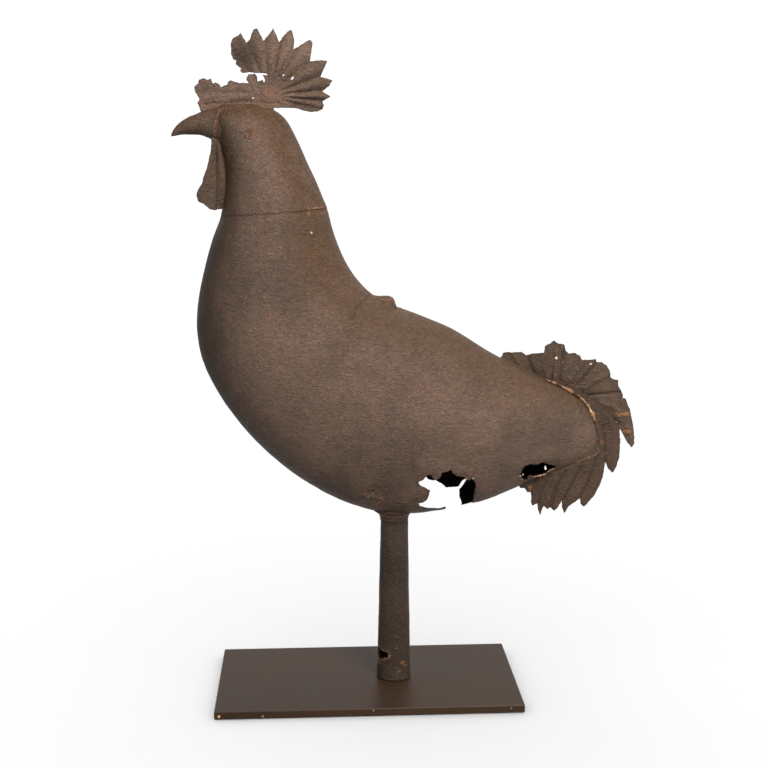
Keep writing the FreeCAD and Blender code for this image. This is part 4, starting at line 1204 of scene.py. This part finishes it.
def make_socket():
    """The tapered socket, which leans a little at the top, with the rust hole near its foot."""
    lo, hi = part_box("socket_tube")
    foot, top = lo[2] / MM, hi[2] / MM - 4
    heights = np.linspace(foot, top, 150)
    radius = np.interp(heights, [foot, foot + 4, foot + 50, top], [21.9, 21.4, 20.4, 17.0])
    lean = np.interp(heights, [foot, top], [0.0, 0.75])
    outside = list(zip(radius, heights))
    inside = [(r - SOCKET_SHEET, z) for r, z in outside[::-1]]

    def relief(p):
        worn = 0.22 * noise(p, 22, 111, 2) + 0.08 * noise(p, 5, 113)
        return worn * smooth(p[..., 2], foot, foot + 6)

    points, faces = lathe(outside + inside, (0, 0), 110, relief)
    points[:, 0] += np.interp(points[:, 2], heights, lean)
    obj = new_piece("socket_sleeve", points, faces)
    cut(obj, "DIFFERENCE", prism(ragged(SOCKET_HOLE, 1.2, 0.5, 117), -40, -2))
    p = points_of(obj)
    q = in_plan(p)
    rust = 0.9 * np.exp(-line_distance(q, SOCKET_HOLE, True) / 2.4) * (p[:, 1] < 0)
    for x, z, wide, high, share in SOCKET_SPOTS:
        spot = hill(q[:, 0] - x, wide) * hill(q[:, 1] - z, high) * (p[:, 1] < 5)
        rust = np.maximum(rust, share * spot * (1.0 + 0.4 * noise(p, 7, 121, 2)))
    rust = np.maximum(rust, 0.45 * np.exp(-(p[:, 2] - foot) / 3.0))
    rust = np.maximum(rust, 0.3 * smooth(noise(p, 14, 123, 3), 0.3, 1.0))
    # Painted shade on the top 40 mm of the socket, under the belly.
    paint(obj, rust, scale_and_shade=0.25 * smooth(p[:, 2], top - 40, top))
    finish_piece(obj, TUBE_IRON, "socket_tube")


def seen_at(x, z, y):
    """The point at depth y that is seen at (x, z) of the middle plane."""
    return EYE_POINT + (np.array([x, 0.0, z]) - EYE_POINT) * (1 - y / EYE_POINT[1])


def on_skin(x, z):
    """The point of the near side that is seen at (x, z) of the middle plane."""
    p = form_points(ROWS[SEAM_ROW:], np.linspace(0, math.pi, 721), NEAR)
    normal = form_normals(p, NEAR).reshape(-1, 3)
    p = p.reshape(-1, 3)
    faced = p[np.sum(normal * (EYE_POINT - p), axis=1) > 0]
    return faced[np.argmin(np.hypot(*(in_plan(faced) - (x, z)).T))]


FILLET = [(259, 318), (258.5, 304), (244, 296), (225, 291.3), (206, 285)]
HOLE_LIP = [(205, 284.2), (197, 280.8), (191.5, 277), (184, 274.6), (176, 272.6)]


def make_beads():
    """Solder where the body runs out onto the tail sheets, and the bent lip of the hole beside them."""
    bead("tail_left_bead", [seen_at(x, z, -9.2) for x, z in REAR_ARC[3:11]], 1.8, 131)
    bead("tail_right_bead", [(x - 2, 9.2, z - 1) for x, z in REAR_ARC[3:13]], 1.45, 137)
    bead("tail_left_fillet", [seen_at(x, z, -8.9) for x, z in FILLET], 1.5, 141, IRON, 0.0)
    bead("tail_hole_lip", [on_skin(x, z) for x, z in HOLE_LIP], 1.0, 149)


# ------------------------------------------------------------------ stage

FLOOR_REACH = 30000
SKY = 1.07
# Name, place and aim in metres, width, watts
LAMPS = [
    ("key", (0.95, -2.3, 2.3), (0, 0, 0.45), 1.3, 350),
    ("top", (0.6, 0.9, 2.5), (0, 0, 0.45), 1.2, 20),
    ("fill", (-1.6, -2.2, 1.0), (0, 0, 0.45), 1.2, 5),
    ("bounce", (0.15, -1.0, 0.06), (0.05, 0, 0.3), 0.8, 3.3),
]


def make_floor():
    """A plain floor that runs out to the horizon."""
    corners = [(x * FLOOR_REACH, y * FLOOR_REACH, 0) for x, y in ((-1, -1), (1, -1), (1, 1), (-1, 1))]
    floor = new_piece("floor", corners, [(0, 1, 2, 3)], False)
    floor.data.materials.append(paper())
    return floor


def make_light(floor):
    """A white sky, and soft lamps that light the object and not the floor."""
    scene = bpy.context.scene
    world = bpy.data.worlds.new("soft_white")
    world.use_nodes = True
    shade = world.node_tree.nodes["Background"]
    shade.inputs["Color"].default_value = (1, 1, 1, 1)
    shade.inputs["Strength"].default_value = SKY
    scene.world = world
    scene.view_settings.view_transform = "Standard"
    lit = bpy.data.collections.new("lit_by_lamps")
    for obj in scene.objects:
        if obj.type == "MESH" and obj is not floor:
            lit.objects.link(obj)
    for name, place, aim, wide, watts in LAMPS:
        lamp = bpy.data.lights.new(name, "AREA")
        lamp.shape = "SQUARE"
        lamp.size = wide
        lamp.energy = watts
        obj = bpy.data.objects.new(name, lamp)
        obj.location = place
        obj.rotation_mode = "QUATERNION"
        obj.rotation_quaternion = (Vector(aim) - Vector(place)).to_track_quat("-Z", "Y")
        scene.collection.objects.link(obj)
        obj.light_linking.receiver_collection = lit


CAMERA_YAW, CAMERA_DIP = 3.13, 10.59
CAMERA_LENS, CAMERA_SENSOR = 60.74, 36.0
# The shift that centres the frame on the photograph's, half of one of its 768 pixels
HALF_PIXEL = 0.5 / 768


def make_camera():
    """The camera at the point that the outlines are laid out from, turned a little right and down."""
    data = bpy.data.cameras.new("camera")
    data.lens = CAMERA_LENS
    data.sensor_width = CAMERA_SENSOR
    data.shift_x = -HALF_PIXEL
    data.shift_y = HALF_PIXEL
    obj = bpy.data.objects.new("camera", data)
    obj.location = EYE_POINT * MM
    yaw, dip = math.radians(CAMERA_YAW), math.radians(CAMERA_DIP)
    ahead = Vector((math.sin(yaw) * math.cos(dip), math.cos(yaw) * math.cos(dip), -math.sin(dip)))
    obj.rotation_mode = "QUATERNION"
    obj.rotation_quaternion = ahead.to_track_quat("-Z", "Y")
    bpy.context.scene.collection.objects.link(obj)
    bpy.context.scene.camera = obj


# ------------------------------------------------------------------ assembly

def dress_frame():
    """New materials for the CAD nodes that stay as they are."""
    steel = worn_metal("spindle_steel", (0.42, 0.4, 0.38))
    bronze = worn_metal("bearing_bronze", (0.5, 0.34, 0.16))
    for name, material in (
        ("base_plate", plate_paint()), ("felt_pad", felt()), ("spindle", steel), ("spindle_screw", steel),
        ("guide_bush", bronze), ("top_bearing", bronze), ("tube_spacer", steel), ("inner_tube", INNER_SHADED_IRON),
        ("neck_strip", INNER_SHADED_IRON),
    ):
        node = frame["nodes"][name]
        if node.data.materials:
            node.data.materials[0] = material
        else:
            node.data.materials.append(material)


def build():
    """Makes every piece, then the floor, light and camera."""
    core = core_solid()
    make_skin()
    beak_core = make_beak(core)
    make_comb(core)
    make_tails(core)
    make_wattles(core, beak_core)
    make_eyes()
    make_back_cap()
    make_collar(core)
    make_socket()
    make_beads()
    for tool in (core, beak_core):
        bpy.data.objects.remove(tool)
    dress_frame()
    make_light(make_floor())
    make_camera()


build()
